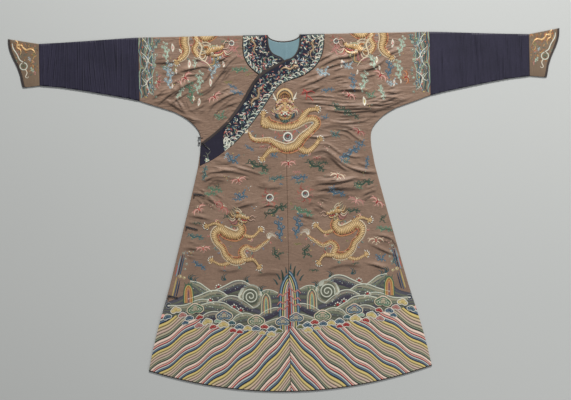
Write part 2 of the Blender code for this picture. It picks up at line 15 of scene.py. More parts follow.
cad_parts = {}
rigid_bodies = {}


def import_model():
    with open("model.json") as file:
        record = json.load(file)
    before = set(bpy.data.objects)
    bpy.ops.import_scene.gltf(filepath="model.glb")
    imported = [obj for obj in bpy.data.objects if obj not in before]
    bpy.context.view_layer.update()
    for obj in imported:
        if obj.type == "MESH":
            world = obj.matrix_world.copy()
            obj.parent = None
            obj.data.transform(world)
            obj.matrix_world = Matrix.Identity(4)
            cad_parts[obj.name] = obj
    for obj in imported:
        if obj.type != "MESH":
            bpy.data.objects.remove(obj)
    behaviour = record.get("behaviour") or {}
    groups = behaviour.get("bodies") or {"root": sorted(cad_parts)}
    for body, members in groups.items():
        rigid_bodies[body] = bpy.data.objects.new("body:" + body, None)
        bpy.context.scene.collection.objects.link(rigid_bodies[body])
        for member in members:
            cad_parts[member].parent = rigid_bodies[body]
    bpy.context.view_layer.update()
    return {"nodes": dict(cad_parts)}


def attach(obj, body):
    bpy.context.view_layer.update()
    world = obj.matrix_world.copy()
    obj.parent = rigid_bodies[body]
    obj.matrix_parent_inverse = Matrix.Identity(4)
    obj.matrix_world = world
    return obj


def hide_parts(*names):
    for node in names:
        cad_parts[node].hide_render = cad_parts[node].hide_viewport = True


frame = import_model()
bpy.ops.object.select_all(action="DESELECT")
print("pieces in the frame:", len(frame["nodes"]))

MM = 0.001
FRONT, UNDERSIDE = 1, -1

# %% [markdown]
# ## Camera, floor and light
# The robe lies on a pale table and is seen from straight above, turned a little to the left. One
# lamp rakes over it from beyond the neck, because creases only show when light comes from the
# side. A large soft lamp and a pale sky fill the shadows.

# %% Camera
PHOTO_TURN = math.radians(1.15)        # how far the robe is turned to the left in the picture
PICTURE_WIDTH = 2.2355                 # metres of table across the picture
PICTURE_MIDDLE = (-0.006, 0.050)
CLOTH_TOP = 0.004
LENS, FILM = 85.0, 36.0


def added(name, data):
    """A new object in the scene for some data."""
    thing = bpy.data.objects.new(name, data)
    bpy.context.collection.objects.link(thing)
    return thing


camera = added("above", bpy.data.cameras.new("above"))
camera.data.lens, camera.data.sensor_width = LENS, FILM
camera.location = (*PICTURE_MIDDLE, PICTURE_WIDTH * LENS / FILM + CLOTH_TOP)
camera.rotation_euler = (0.0, 0.0, -PHOTO_TURN)
bpy.context.scene.camera = camera
bpy.context.scene.view_settings.view_transform = "Standard"    # silk keeps its own colours
print("camera height:", round(camera.location.z, 3))


# %% Light
def lamp(name, place, size, power, tint):
    """A square soft lamp that looks at the middle of the robe."""
    data = bpy.data.lights.new(name, "AREA")
    data.size, data.energy, data.color = size, power, tint
    thing = added(name, data)
    thing.location = place
    away = np.array(place) - (0.0, PICTURE_MIDDLE[1], 0.0)
    thing.rotation_euler = (math.acos(away[2] / np.linalg.norm(away)), 0.0,
                            math.atan2(away[1], away[0]) + math.pi / 2)


lamp("raking_light", (0.9, 4.7, 2.9), 0.7, 355.0, (1.0, 0.99, 0.97))
lamp("soft_side", (2.6, -1.6, 3.0), 3.0, 45.0, (1.0, 1.0, 1.0))
bpy.context.scene.world = bpy.data.worlds.new("studio")
bpy.context.scene.world.use_nodes = True
sky = bpy.context.scene.world.node_tree.nodes["Background"].inputs
sky["Color"].default_value, sky["Strength"].default_value = (0.93, 0.96, 1.0, 1.0), 0.26


# %% [markdown]
# ## Shader sums
# A material is easier to read as a sum than as a picture of nodes. This small class wraps a node's
# output, so that `1 - mask` or `colour * 0.5` adds the Math node for it. The nodes that most
# finishes need have a short name each.

# %% Sockets that add up
class Socket:
    """A node's output. Sums on it add Math nodes, and node() adds any other node."""

    def __init__(self, tree, output=None):
        self.tree, self.output = tree, output

    def node(self, kind, settings=None, inputs=None, output=0):
        """Add a node: its settings first, then the values or sockets of its inputs."""
        node = self.tree.nodes.new("ShaderNode" + kind)
        for key, value in (settings or {}).items():
            if key == "stops":
                ramp = node.color_ramp
                while len(ramp.elements) < len(value):
                    ramp.elements.new(1.0)
                for stop, (place, colour) in zip(ramp.elements, value):
                    stop.position, stop.color = place, (*colour, 1.0)
            elif key == "interpolation":
                node.color_ramp.interpolation = value
            else:
                setattr(node, key, value)
        for key, value in (inputs or {}).items():
            if isinstance(value, Socket):
                self.tree.links.new(value.output, node.inputs[key])
            else:
                node.inputs[key].default_value = value
        return Socket(self.tree, node.outputs[output])

    def maths(self, operation, first, second=0.0):
        return self.node("Math", {"operation": operation}, {0: first, 1: second})

    def place(self):
        return self.node("TexCoord", output="Object")

    def axis(self, place, letter):
        return self.node("SeparateXYZ", None, {0: place}, letter)

    def attribute(self, name, output):
        return self.node("Attribute", {"attribute_name": name}, None, output)

    def laid(self, place, scale, **more):
        return self.node("Mapping", None, {"Vector": place, "Scale": scale, **more})

    def noise(self, place, scale, detail=2.0, **more):
        return self.node("TexNoise", None, {"Vector": place, "Scale": scale, "Detail": detail, **more},
                         "Fac")

    def ramp(self, value, stops, **settings):
        return self.node("ValToRGB", {**settings, "stops": stops}, {0: value})

    def step(self, value, low, high, first, last):
        return self.node("MapRange", {"interpolation_type": "SMOOTHSTEP"},
                         {0: value, 1: low, 2: high, 3: first, 4: last})

    def ridges(self, value):
        return self.maths("ABSOLUTE", self.maths("SINE", value))

    def shaded(self, colour, shade):
        return self.node("VectorMath", {"operation": "SCALE"}, {0: colour, "Scale": shade}, "Vector")

    def bump(self, height, strength, distance, **more):
        return self.node("Bump", None, {"Height": height, "Strength": strength,
                                        "Distance": distance, **more}, "Normal")

    def __add__(self, other):
        return self.maths("ADD", self, other)

    def __sub__(self, other):
        return self.maths("SUBTRACT", self, other)

    def __rsub__(self, other):
        return self.maths("SUBTRACT", other, self)

    def __mul__(self, other):
        return self.maths("MULTIPLY", self, other)

    __radd__ = __add__


def new_finish(name):
    """An empty material, its shader, and a socket to start sums from."""
    material = bpy.data.materials.new(name)
    material.use_nodes = True
    shader = material.node_tree.nodes["Principled BSDF"]
    return material, shader, Socket(material.node_tree)


def wire(shader, **inputs):
    """Set or link the shader's sockets, named as words with _ between them."""
    for key, value in inputs.items():
        socket = shader.inputs[key.replace("_", " ").title().replace("Ior", "IOR")]
        if isinstance(value, Socket):
            value.tree.links.new(value.output, socket)
        else:
            socket.default_value = value


def rgb(*shares):
    """A colour as the eye reads it, 0 to 255, turned into the light that a shader mixes."""
    shares = np.array(shares) / 255
    light = np.where(shares <= 0.04045, shares / 12.92, ((shares + 0.055) / 1.055) ** 2.4)
    return tuple(light.tolist())


# %% [markdown]
# ## The floor
# A plain pale board.

# %% Floor
FLOOR_SIZE, FLOOR_GAP = 14.0, 0.0004      # the board lies a hair under the robe
bpy.ops.mesh.primitive_plane_add(size=FLOOR_SIZE, location=(0.0, 0.0, -FLOOR_GAP))
floor = bpy.context.object
floor.name = "floor"
board, shader, start = new_finish("pale_board")
grain = start.node("TexNoise", None, {"Scale": 3.0, "Detail": 4.0}, "Fac")
wire(shader, base_color=start.ramp(grain, [(0.3, rgb(186, 188, 186)), (0.7, rgb(194, 195, 192))]),
     roughness=0.9)
floor.data.materials.append(board)


# %% [markdown]
# ## Silk finishes
# The ground is a brown satin: threads run down the robe, so fine streaks run that way, and thin
# wrinkles lie across it. A picture of silk would repeat and blur, so noise stretched along the
# threads takes its place. The satin also reads painted shade and a painted highlight from its mesh:
# darker in the sharp foot of each crease, lighter on its slow side near the crest. The sleeves are a
# plain navy silk with a duller surface, and
# the lining is a light blue tabby, where over and under threads show as a tiny check.

# %% Satin and plain silk
STREAK = 0.45                # how much of the tone is fine streaks, the rest is slow clouds


def woven(name, dark, light, roughness, thread, check=0.0, wrinkle=0.0, shade_and_tone_weight=0.0):
    """Silk whose threads run along Y: tone from slow clouds and fine streaks, bump from threads."""
    material, shader, start = new_finish(name)
    place = start.place()
    streaks = start.noise(start.laid(place, (1 / thread, 0.04 / thread, 1.0)), 1.0, 3.0)
    tone = streaks * STREAK + start.noise(place, 9.0, 3.0) * (1 - STREAK)
    colour = start.ramp(tone, [(0.32, dark), (0.68, light)])
    weave = streaks
    if check:
        weft = start.noise(start.laid(place, (0.1 / thread, 1 / thread, 1.0)), 1.0, 1.0)
        weave = streaks + weft * check
    bump = start.bump(weave, 0.35, 0.0004)
    if wrinkle:
        bump = wrinkled(start, place, bump, wrinkle)
    if shade_and_tone_weight:
        # painted shade and painted highlight of creases and pleats, read from the mesh; on the band
        # tail a uniform darker tone of its own
        mottle = start.noise(start.laid(place, (90.0, 190.0, 1.0)), 1.0)
        shade = 0.80 + mottle * 0.46 - start.attribute("crease", "Fac") * shade_and_tone_weight
        colour = start.shaded(colour, start.maths("MAXIMUM", shade, 0.2))
    wire(shader, base_color=colour, roughness=tone * 0.15 + (roughness - 0.07), normal=bump,
         specular_ior_level=0.3, sheen_weight=0.06, sheen_roughness=0.4)
    material["slot"] = name
    return material


def wrinkled(start, place, bump, depth):
    """Fine wrinkles that lie mostly across the robe, stronger above the waist."""
    above = start.step(start.axis(place, "Y"), -0.3, 0.5, 0.35, 1.0)
    folds = []
    for turn, scale, offset in ((0.5, (5.0, 13.0, 1.0), 0.0), (-0.45, (6.0, 17.0, 1.0), 7.3)):
        laid = start.laid(place, scale, Rotation=(0.0, 0.0, turn), Location=(offset, offset, 0.0))
        valley = start.noise(laid, 1.0, 4.0, Roughness=0.55, Distortion=0.6) - 0.5
        folds.append(start.step(start.maths("ABSOLUTE", valley), 0.0, 0.09, 1.0, 0.0))
    fold = start.maths("MAXIMUM", folds[0], folds[1] * 0.8) * above
    return start.bump(fold, 1.0, depth, Normal=bump)


satin = woven("brown_satin", rgb(119, 96, 81), rgb(138, 113, 96), 0.52, 0.0011, wrinkle=0.0013,
              shade_and_tone_weight=0.95)
navy = woven("navy_silk", rgb(32, 30, 46), rgb(44, 41, 60), 0.55, 0.0012, shade_and_tone_weight=0.5)
lining_blue = woven("blue_lining", rgb(104, 130, 138), rgb(116, 144, 150), 0.55, 0.0009, 0.8)
band_navy = woven("neckband_embroidery", rgb(22, 24, 38), rgb(32, 34, 50), 0.50, 0.0010)
binding_silk = woven("dark_binding", rgb(46, 40, 39), rgb(70, 61, 57), 0.55, 0.0007, 0.8)
brocade = woven("cuff_brocade", rgb(100, 83, 68), rgb(130, 110, 90), 0.50, 0.0013, 0.6)


# %% [markdown]
# ## The ground of a piece
# Every piece of silk lies on the upper side of its solid. `Ground` reads that side once: how high
# it is at a place, where its rim runs, and the nearest place on the rim for a point that fell
# outside. Silk and embroidery both ask it.

# %% Ground
SAME_PLACE = 0.00001         # points of a solid that are this close are one point
FLAT_ENOUGH = 0.3            # a face that points up less than this belongs to a wall


class Ground:
    """The side of some cloth that is looked at: how high it is at a place, and where it ends."""

    def __init__(self, points, faces, side=FRONT):
        self.points, self.faces, self.side = points, faces, side
        self.tree = BVHTree.FromPolygons(points.tolist(), faces.tolist())
        edges = np.sort(np.vstack([faces[:, [0, 1]], faces[:, [1, 2]], faces[:, [2, 0]]]), axis=1)
        pairs, uses = np.unique(edges, axis=0, return_counts=True)
        self.rim = points[pairs[uses == 1]]

    def height(self, spots):
        """Height at each spot, or nan beside the cloth."""
        found = np.full(len(spots), np.nan)
        for i, (x, y) in enumerate(spots.tolist()):
            hit = self.tree.ray_cast((x, y, float(self.side)), (0.0, 0.0, -float(self.side)))[0]
            if hit is not None:
                found[i] = hit.z
        return found

    def to_rim(self, spots):
        """The nearest place on the rim to each spot, and how far it is."""
        a, run = self.rim[:, 0], self.rim[:, 1] - self.rim[:, 0]
        length = np.maximum((run[:, :2] ** 2).sum(1), 1e-16)
        places, gaps = np.empty((len(spots), 3)), np.empty(len(spots))
        for first in range(0, len(spots), 2000):
            some = spots[first:first + 2000, None]
            t = np.clip(((some - a[:, :2]) * run[:, :2]).sum(2) / length, 0.0, 1.0)
            near = a + t[:, :, None] * run
            gap = ((near[:, :, :2] - some) ** 2).sum(2)
            best = gap.argmin(1)
            rows = np.arange(len(best))
            places[first:first + 2000] = near[rows, best]
            gaps[first:first + 2000] = np.sqrt(gap[rows, best])
        return places, gaps


def places_of(mesh):
    """Where the points of a mesh are."""
    places = np.empty(len(mesh.vertices) * 3)
    mesh.vertices.foreach_get("co", places)
    return places.reshape(-1, 3)


def sides_of(thing, side=FRONT):
    """Points and triangles of one side of a mesh object, doubles merged."""
    mesh = thing.data
    mesh.calc_loop_triangles()
    points = places_of(mesh)
    faces = np.empty(len(mesh.loop_triangles) * 3, dtype=int)
    mesh.loop_triangles.foreach_get("vertices", faces)
    _, first, merged = np.unique(np.round(points / SAME_PLACE).astype(int), axis=0,
                                 return_index=True, return_inverse=True)
    points, faces = points[first], merged.reshape(-1)[faces].reshape(-1, 3)
    a, b, c = (points[faces[:, k]] for k in range(3))
    normal = np.cross(b - a, c - a)
    steepness = normal[:, 2] / np.maximum(np.linalg.norm(normal, axis=1), 1e-12)
    return points, faces[steepness * side > FLAT_ENOUGH]


# %% [markdown]
# ## Creases
# A pressed crease isn't round: the silk climbs slowly on one side and drops sharply on the other.
# A cloth simulation would fold where it likes, while a drawn crease lies where the real one does.
# Each row below is a crease: its height, how wide the slow side and the sharp side
# are, and x and y of the points that its crest passes, all in millimetres. The slow side is on the
# left hand when you walk along the points, so most rows run from left to right, with their shadow
# below.

# %% Tables written as text
def table(text, ends=","):
    """Rows of words and numbers. A comma ends a row, or whatever else is said to."""
    return [[float(word) if word.strip("-.").isdigit() or "." in word else word for word in row.split()]
            for row in text.split(ends)]


def pairs(numbers):
    """Numbers in a row, two by two."""
    return np.reshape(numbers, (-1, 2)).tolist()


def paths(text):
    """Rows of points."""
    return [pairs(row) for row in table(text)]


def crease_table(text):
    return [row[:3] + pairs(row[3:]) for row in table(text, "\n")]


# %% Crease tables
CREASES_RIGHT = crease_table("""2.6 12 3.0 -512 424 -480 448 -452 470 -398 502 -338 530
2.6 13 3.0 -412 560 -350 573 -312 578 -282 566
1.4 14 5.0 -528 600 -470 598 -400 604
2.4 12 3.0 -272 597 -240 606 -222 624 -212 645
2.0 10 3.0 -347 468 -300 491 -260 535 -217 590 -172 628
1.6 8 3.0 -252 545 -234 558 -213 582
1.8 8 3.0 -462 446 -425 421 -393 399
1.5 7 3.0 -427 457 -403 418 -390 394
2.0 10 3.0 -302 398 -285 425 -255 446 -215 466 -168 477
1.5 8 3.5 -398 386 -362 372 -333 364
1.3 10 4.0 -262 408 -215 428 -170 441
1.4 8 3.0 -247 348 -222 362 -200 377
1.3 8 3.0 -520 470 -470 476 -430 490
1.1 9 4.0 -480 560 -440 552 -405 556
1.2 7 3.0 -420 520 -405 500 -400 480
1.0 9 4.0 -330 440 -300 452 -270 480
1.0 8 4.0 -370 410 -340 418 -310 436""")
CREASES_LEFT = crease_table("""2.8 13 3.0 132 566 200 598 255 606 318 628
2.4 12 3.0 288 548 355 563 397 597
1.6 10 3.5 398 611 425 618 452 629
2.0 11 3.0 53 489 120 512 178 541
1.5 9 3.5 178 521 210 529 247 532
1.4 9 3.0 93 477 125 484 152 496
1.5 11 4.0 193 482 262 474 332 470
1.7 9 3.0 393 457 424 459 457 466
1.8 10 3.0 298 411 380 425 442 446
1.3 8 3.0 340 398 410 412 495 442
1.2 7 3.0 360 442 410 434 470 431
1.5 12 4.0 168 396 250 404 330 402 424 400
1.2 14 6.0 88 226 150 238 185 211 243 154
1.5 12 4.0 253 169 305 154 360 149
2.6 14 3.5 105 104 130 112 200 115 272 127
1.4 20 9.0 108 96 200 97 302 91
1.6 11 4.0 293 61 320 74 348 83
1.3 9 4.0 113 31 132 21 152 7
1.2 10 4.0 38 -7 75 -17 112 -23
1.7 10 3.0 343 -94 400 -107 433 -147
1.5 9 3.0 318 -127 380 -158 447 -187
2.2 11 3.0 306 -204 345 -214 388 -229
1.1 12 6.0 130 330 200 340 290 322
1.0 12 6.0 60 60 110 66 180 52
1.0 14 6.0 150 -220 220 -206 290 -214
1.8 7 2.6 60 432 140 424 220 414 300 412
1.6 6 2.4 170 396 240 388 310 392 380 398
2.2 7 2.6 300 408 350 414 400 418 452 432
2.2 7 2.6 345 436 400 444 470 436
2.0 6 2.6 190 470 250 478 320 474
1.5 6 2.4 60 448 120 454 180 450 240 440
1.5 7 3.0 180 350 240 346 300 352 340 368
1.7 6 2.6 195 322 240 316 275 290 310 268
1.9 8 3.0 95 232 150 240 190 214 240 176 300 156 350 152
1.4 7 3.0 215 232 260 214 300 214
2.4 9 2.8 150 112 210 118 270 130
1.5 7 3.0 60 300 130 292 180 300""")
CREASES_LAP = crease_table("""1.5 8 3.5 -327 129 -305 139 -283 150
1.6 12 4.0 -302 164 -250 168 -200 165 -148 150
1.2 10 4.0 -302 136 -270 135 -238 130
1.5 9 3.5 -317 66 -295 52 -268 34
1.4 12 5.0 -222 19 -170 32 -123 43
1.4 10 4.0 -382 -4 -340 -10 -298 -21
1.2 10 5.0 -402 -129 -376 -131 -348 -136
1.0 14 6.0 -120 110 -70 100 -20 104
1.0 12 6.0 -290 215 -230 205 -190 220
0.9 14 7.0 -130 -240 -80 -232 -30 -236
0.9 12 6.0 -280 -215 -230 -222 -190 -215
2.0 6 2.6 -352 84 -330 78 -316 66
1.6 7 2.8 -200 180 -150 168 -96 150
1.6 7 2.8 -110 20 -70 30 -30 22""")
CREASES_BACK = crease_table("""0.4 14 6.0 120 560 200 585 300 610
0.4 14 6.0 280 520 350 545 430 590
0.4 12 6.0 250 430 320 442 430 470
0.3 16 8.0 80 300 170 310 280 300
0.4 16 8.0 60 120 180 108 300 122
0.3 16 8.0 120 -60 220 -50 360 -90
0.4 14 8.0 40 -200 160 -215 300 -190""")


print("creases drawn by hand:", len(CREASES_RIGHT + CREASES_LEFT + CREASES_LAP))


# %% Lines and creases
CREASE_DEPTH = 2.2          # all creases are scaled together with this
SMALL_ABOVE = -150          # small creases lie above this height, mm


def smooth_line(points, spacing):
    """A smooth curve through a few points, with even steps of about that spacing."""
    points = np.array(points, float)
    if len(points) < 3:
        steps = max(2, int(np.linalg.norm(points[1] - points[0]) / spacing) + 1)
        return points[0] + (points[1] - points[0]) * np.linspace(0, 1, steps)[:, None]
    ends = np.vstack([2 * points[0] - points[1], points, 2 * points[-1] - points[-2]])
    t = np.linspace(0, 1, 8, endpoint=False)[:, None]
    a, b, c, d = ends[:-3, None], ends[1:-2, None], ends[2:-1, None], ends[3:, None]
    curve = 0.5 * (2 * b + (c - a) * t + (2 * a - 5 * b + 4 * c - d) * t ** 2
                   + (3 * b - a - 3 * c + d) * t ** 3)
    curve = np.vstack([curve.reshape(-1, points.shape[1]), points[-1:]])
    walked = np.concatenate([[0], np.cumsum(np.linalg.norm(np.diff(curve, axis=0), axis=1))])
    stops = np.linspace(0, walked[-1], max(2, int(walked[-1] / spacing) + 1))
    return np.column_stack([np.interp(stops, walked, curve[:, k]) for k in range(curve.shape[1])])


# %% How creases lift the silk
def crease_lift(spots, creases):
    """How far the creases lift the silk at each spot, and the painted shade in their sharp foot less
    the painted highlight on their slow side, -0.3 to 1.
    """
    lift, shadow, light = np.zeros(len(spots)), np.zeros(len(spots)), np.zeros(len(spots))
    for height, slow, sharp, *crest in creases:
        line = smooth_line(np.array(crest) * MM, 0.006)
        reach = 2.5 * slow * MM
        near = np.flatnonzero(((spots > line.min(0) - reach) & (spots < line.max(0) + reach)).all(1))
        a, run = line[:-1], np.diff(line, axis=0)
        away = spots[near, None] - a
        t = np.clip((away * run).sum(2) / (run ** 2).sum(1), 0, 1)
        off = away - t[:, :, None] * run
        gap = np.linalg.norm(off, axis=2)
        best = gap.argmin(1)
        rows = np.arange(len(near))
        gap = gap[rows, best]
        on_left = (run[best, 0] * off[rows, best, 1] - run[best, 1] * off[rows, best, 0]) > 0
        along = (best + t[rows, best]) / len(run)
        uneven = 0.85 + 0.15 * np.sin(along * 9 + height * 7)
        taper = np.clip(np.sin(math.pi * np.clip(along, 0.02, 0.98)), 0, 1) ** 0.6 * uneven
        width = np.where(on_left, slow, sharp) * MM
        lift[near] += CREASE_DEPTH * height * MM * taper * np.exp(-(gap / width) ** 2)
        # painted shade in the sharp foot of each crease
        foot = np.where(on_left, 3.0, 1.0) * (gap - sharp * MM * 0.9) / (sharp * MM * 1.05)
        dark = min(1.0, height / 1.7) * taper * np.exp(-foot ** 2)
        shadow[near] = np.maximum(shadow[near], np.where(on_left, 0.3, 1.0) * dark)
        # painted highlight on the slow side, near the crest
        sheen = np.exp(-((gap - 0.8 * slow * MM) / (0.5 * slow * MM)) ** 2) * on_left
        light[near] = np.maximum(light[near], 0.3 * min(1.0, height / 2.0) * taper * sheen)
    return lift, shadow - light


def with_small_ones(creases, seed):
    """The creases, and beside each one of the upper robe four shorter and shallower ones."""
    chance = np.random.default_rng(seed)
    family = list(creases)
    for height, slow, sharp, *crest in creases:
        line = smooth_line(crest, 10.0)
        run = line[-1] - line[0]
        if line[:, 1].mean() < SMALL_ABOVE or len(line) < 5:
            continue
        aside = np.array([-run[1], run[0]]) / np.linalg.norm(run)
        for side in (-1, 1, -1, 1):
            start = chance.integers(0, max(1, len(line) // 2))
            part = line[start:start + max(4, int(len(line) * chance.uniform(0.35, 0.6)))]
            lean = np.linspace(0, chance.uniform(-8, 8), len(part))[:, None]
            moved = part + aside * (side * chance.uniform(9, 34) + lean)
            family.append((0.6 * height, slow * 0.6, sharp * 0.8, *moved[::3].tolist()))
    return family


def ripples(spots, height):
    """Slow uneven waves that silk has after it has hung, longer across the robe than down it."""
    return np.array([height * (noise.noise((x * 7, y * 26, 0.3)) + 0.5 *
                               noise.noise((x * 20, y * 60, 4.1))) for x, y in spots.tolist()])


# %% [markdown]
# ## Spreading silk on a piece
# A plain grid is laid over the solid and dropped onto it. Its outer points are pulled onto the
# solid's own outline, so that the seams stay where the frame has them. The heights are settled,
# which smooths away the solid's facets, and then the creases and ripples are added.

# %% Spread silk
SEAM_FADE = 0.012           # creases die away this far from the rim
PULLED_SHARE = 0.3          # points within this share of a step from the rim go onto it
CORNER = math.radians(25)   # the outline turns a corner where it bends more than this
RIM_MERGE = 0.0002          # points pulled this close to each other become one


def fade_in(value, low, high):
    t = np.clip((value - low) / (high - low), 0, 1)
    return t * t * (3 - 2 * t)


def rim_corners(rim):
    """Ends of rim pieces where the outline turns a corner."""
    ends = {}
    for a, b in rim:
        for start, end in ((a, b), (b, a)):
            ends.setdefault(tuple(np.round(start, 6)), []).append(end - start)
    corners = []
    for place, runs in ends.items():
        if len(runs) == 2:
            one, two = (run / np.linalg.norm(run) for run in runs)
            if one @ two > -math.cos(CORNER):
                corners.append(place)
    return corners


def steps_between(low, high, step):
    return np.linspace(low, high, max(2, int(round((high - low) / step)) + 1))


def lines_over(points, axis, step):
    """Grid lines over all the points and a step beyond them."""
    return steps_between(points[:, axis].min() - step, points[:, axis].max() + step, step)


def spread(ground, columns, rows, settle=0, shape=None):
    """Points and faces of a grid dropped onto a ground, with its rim on the ground's outline."""
    grid_x, grid_y = np.meshgrid(columns, rows)
    spots = np.column_stack([grid_x.ravel(), grid_y.ravel()])
    heights = ground.height(spots)
    rim_place, rim_gap = ground.to_rim(spots)
    step = min(np.diff(columns).min(), np.diff(rows).min())
    firm = ~np.isnan(heights) & (rim_gap > PULLED_SHARE * step)
    corner = np.arange(len(spots)).reshape(grid_x.shape)
    quads = np.stack([corner[:-1, :-1], corner[:-1, 1:], corner[1:, 1:], corner[1:, :-1]], 2)
    quads = quads[firm[quads].any(2)]
    used, number = np.unique(quads, return_inverse=True)
    pulled = used[~firm[used]]
    points = np.column_stack([spots, heights])
    points[pulled] = rim_place[pulled]
    for place in rim_corners(ground.rim):
        gaps = np.linalg.norm(points[pulled, :2] - place[:2], axis=1)
        if gaps.min() < 2 * step:
            points[pulled[gaps.argmin()]] = place
    z, weight = np.zeros(grid_x.shape), np.zeros(grid_x.shape)
    z.flat[used], weight.flat[used] = points[used, 2], 1
    for _ in range(settle):
        total, count = np.zeros_like(z), np.zeros_like(z)
        for axis in (0, 1):
            for shift in (1, -1):
                total += np.roll(z * weight, shift, axis)
                count += np.roll(weight, shift, axis)
        z = np.where(firm.reshape(z.shape), 0.5 * z + 0.5 * total / np.maximum(count, 1), z)
    points[:, 2] = z.ravel()
    if shape is not None:
        fade = np.where(firm[used], fade_in(rim_gap[used], 0.0, SEAM_FADE), 0.0)
        points[used, 2] += fade * shape(points[used, :2])
    return points[used], number.reshape(quads.shape)


# %% Pieces of silk
def work_on(thing, *steps):
    """Do each step, an operator and its settings, on all of an object in edit mode."""
    bpy.ops.object.select_all(action="DESELECT")
    thing.select_set(True)
    bpy.context.view_layer.objects.active = thing
    bpy.ops.object.mode_set(mode="EDIT")
    for operator, settings in steps:
        bpy.ops.mesh.select_all(action="SELECT")
        operator(**settings)
    bpy.ops.object.mode_set(mode="OBJECT")


def cloth_object(name, points, faces, finish):
    """A mesh object from points and faces, doubles merged."""
    mesh = bpy.data.meshes.new(name)
    mesh.from_pydata(points.tolist(), [], faces.tolist())
    mesh.materials.append(finish)
    thing = added(name, mesh)
    work_on(thing, (bpy.ops.mesh.remove_doubles, {"threshold": RIM_MERGE}))
    bpy.ops.object.shade_smooth()
    return thing


def stands_for(thing, node):
    """Hang a piece on the root body and hide the solid it takes the place of."""
    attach(thing, "root")
    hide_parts(node)


tops = {}                   # the finished upper side of each piece of silk


def silk_piece(node, finish, cell, settle=12, creases=(), ripple=0.0, wall=0.0010,
               rim_only=False, rows=None, shape=None, shade=None):
    """The silk that stands for a solid of the frame."""
    ground = Ground(*sides_of(frame["nodes"][node]))
    columns = lines_over(ground.points, 0, cell[0])
    if rows is None:
        rows = lines_over(ground.points, 1, cell[1])

    def formed(spots):
        lift, _ = crease_lift(spots, creases)
        if ripple:
            lift += ripples(spots, ripple)
        if shape is not None:
            lift += shape(spots)
        return lift

    thing = cloth_object("silk_" + node, *spread(ground, columns, rows, settle, formed), finish)
    solid = thing.modifiers.new("wall", "SOLIDIFY")
    solid.thickness, solid.offset, solid.use_rim_only = wall, -1.0, rim_only
    places = places_of(thing.data)[:, :2]
    # painted shade of creases and pleats, less a painted highlight on crease slopes; the band tail's
    # value is its own darker tone
    shadow = shade(places) if shade is not None else crease_lift(places, creases)[1]
    thing.data.attributes.new("crease", "FLOAT", "POINT").data.foreach_set("value", shadow)
    stands_for(thing, node)
    tops[node] = Ground(*sides_of(thing))
    print(thing.name, "triangles on top:", len(tops[node].faces))


# %% Body panels
FLAP_LOW, FLAP_TOP, SHOULDER = -0.36, 0.24, 0.70     # the flap under the lap gets coarse rows
flap_rows = np.concatenate([steps_between(FLAP_LOW, FLAP_TOP, 0.012)[:-1],
                            steps_between(FLAP_TOP, SHOULDER, 0.0029)])
for node, creases, seed, row_step, rows in (("front_left", CREASES_LEFT, 3, 0.0031, None),
                                            ("front_lap", CREASES_LAP, 5, 0.0032, None),
                                            ("front_right", CREASES_RIGHT, 4, 0.0, flap_rows)):
    silk_piece(node, satin, (0.0046, row_step), creases=with_small_ones(creases, seed),
               ripple=0.0005, wall=0.0012, rim_only=True, rows=rows)


# %% [markdown]
# ## Pleated sleeve ends
# The navy sleeve ends are pressed into dozens of narrow pleats that run round the arm. They are
# uneven: some are wide, some thin, and a few lean. A bump in the finish would look flat from the
# side, so the mesh itself is pleated. One pleat is a slow rise and a quick fall, and widths drawn
# by chance from a fixed seed say where each begins.

# %% Sleeve ends
PLEAT_COUNT = 62
SLEEVE_X = (0.5702, 0.9598)      # where the pleats begin and end
SLEEVE_MIDDLE, SLEEVE_HALF = 0.58, 0.12     # the pleats lean about this line, in y


def pleats(seed, height):
    """Two functions of place: how far the pleats lift the silk, and the painted shade on their quick
    fall.
    """
    uneven = np.random.default_rng(seed)
    widths = uneven.uniform(0.4, 2.2, PLEAT_COUNT)
    starts = np.concatenate([[0], np.cumsum(widths)]) / widths.sum()
    starts = SLEEVE_X[0] + (SLEEVE_X[1] - SLEEVE_X[0]) * starts
    depths = 0.15 + 0.85 * uneven.random(PLEAT_COUNT) ** 1.6
    leans = uneven.normal(0.0, 0.006, PLEAT_COUNT)

    def where(spots):
        x, y = np.abs(spots[:, 0]), spots[:, 1]
        number = np.clip(np.searchsorted(starts, x) - 1, 0, PLEAT_COUNT - 1)
        x = x + leans[number // 5] * (y - SLEEVE_MIDDLE) / SLEEVE_HALF
        number = np.clip(np.searchsorted(starts, x) - 1, 0, PLEAT_COUNT - 1)
        share = np.clip((x - starts[number]) / (starts[number + 1] - starts[number]), 0, 1)
        along = 0.6 + 0.4 * np.sin(y * 31 + number * 1.9)
        return share, depths[number] * along

    def lift(spots):
        share, depth = where(spots)
        return height * depth * np.where(share < 0.7, fade_in(share, 0.0, 0.7),
                                         1 - fade_in(share, 0.7, 1.0))

    def shade(spots):
        share, depth = where(spots)
        # painted shade on the quick fall of each pleat, stronger where the pleat is deep
        return depth * np.where(share > 0.5, 1.0, 1 - 3 * share) * 0.9

    return lift, shade


for hand in ("left", "right"):
    lift, shade = pleats(11 + len(hand), 0.0018)
    silk_piece("sleeve_front_" + hand, navy, (0.0012, 0.008), settle=30, shape=lift, shade=shade)
    silk_piece("sleeve_back_" + hand, navy, (0.0030, 0.008), settle=0, wall=0.0011)
    silk_piece("cuff_front_" + hand, brocade, (0.0025, 0.0025), ripple=0.0004)
    silk_piece("cuff_back_" + hand, brocade, (0.004, 0.004), settle=0, wall=0.0011)

# %% Neckbands, tail and lining
for node in ("neckband_over", "neckband_under", "neckband_back"):
    silk_piece(node, band_navy, (0.0026, 0.0026), ripple=0.0003, wall=0.0012)
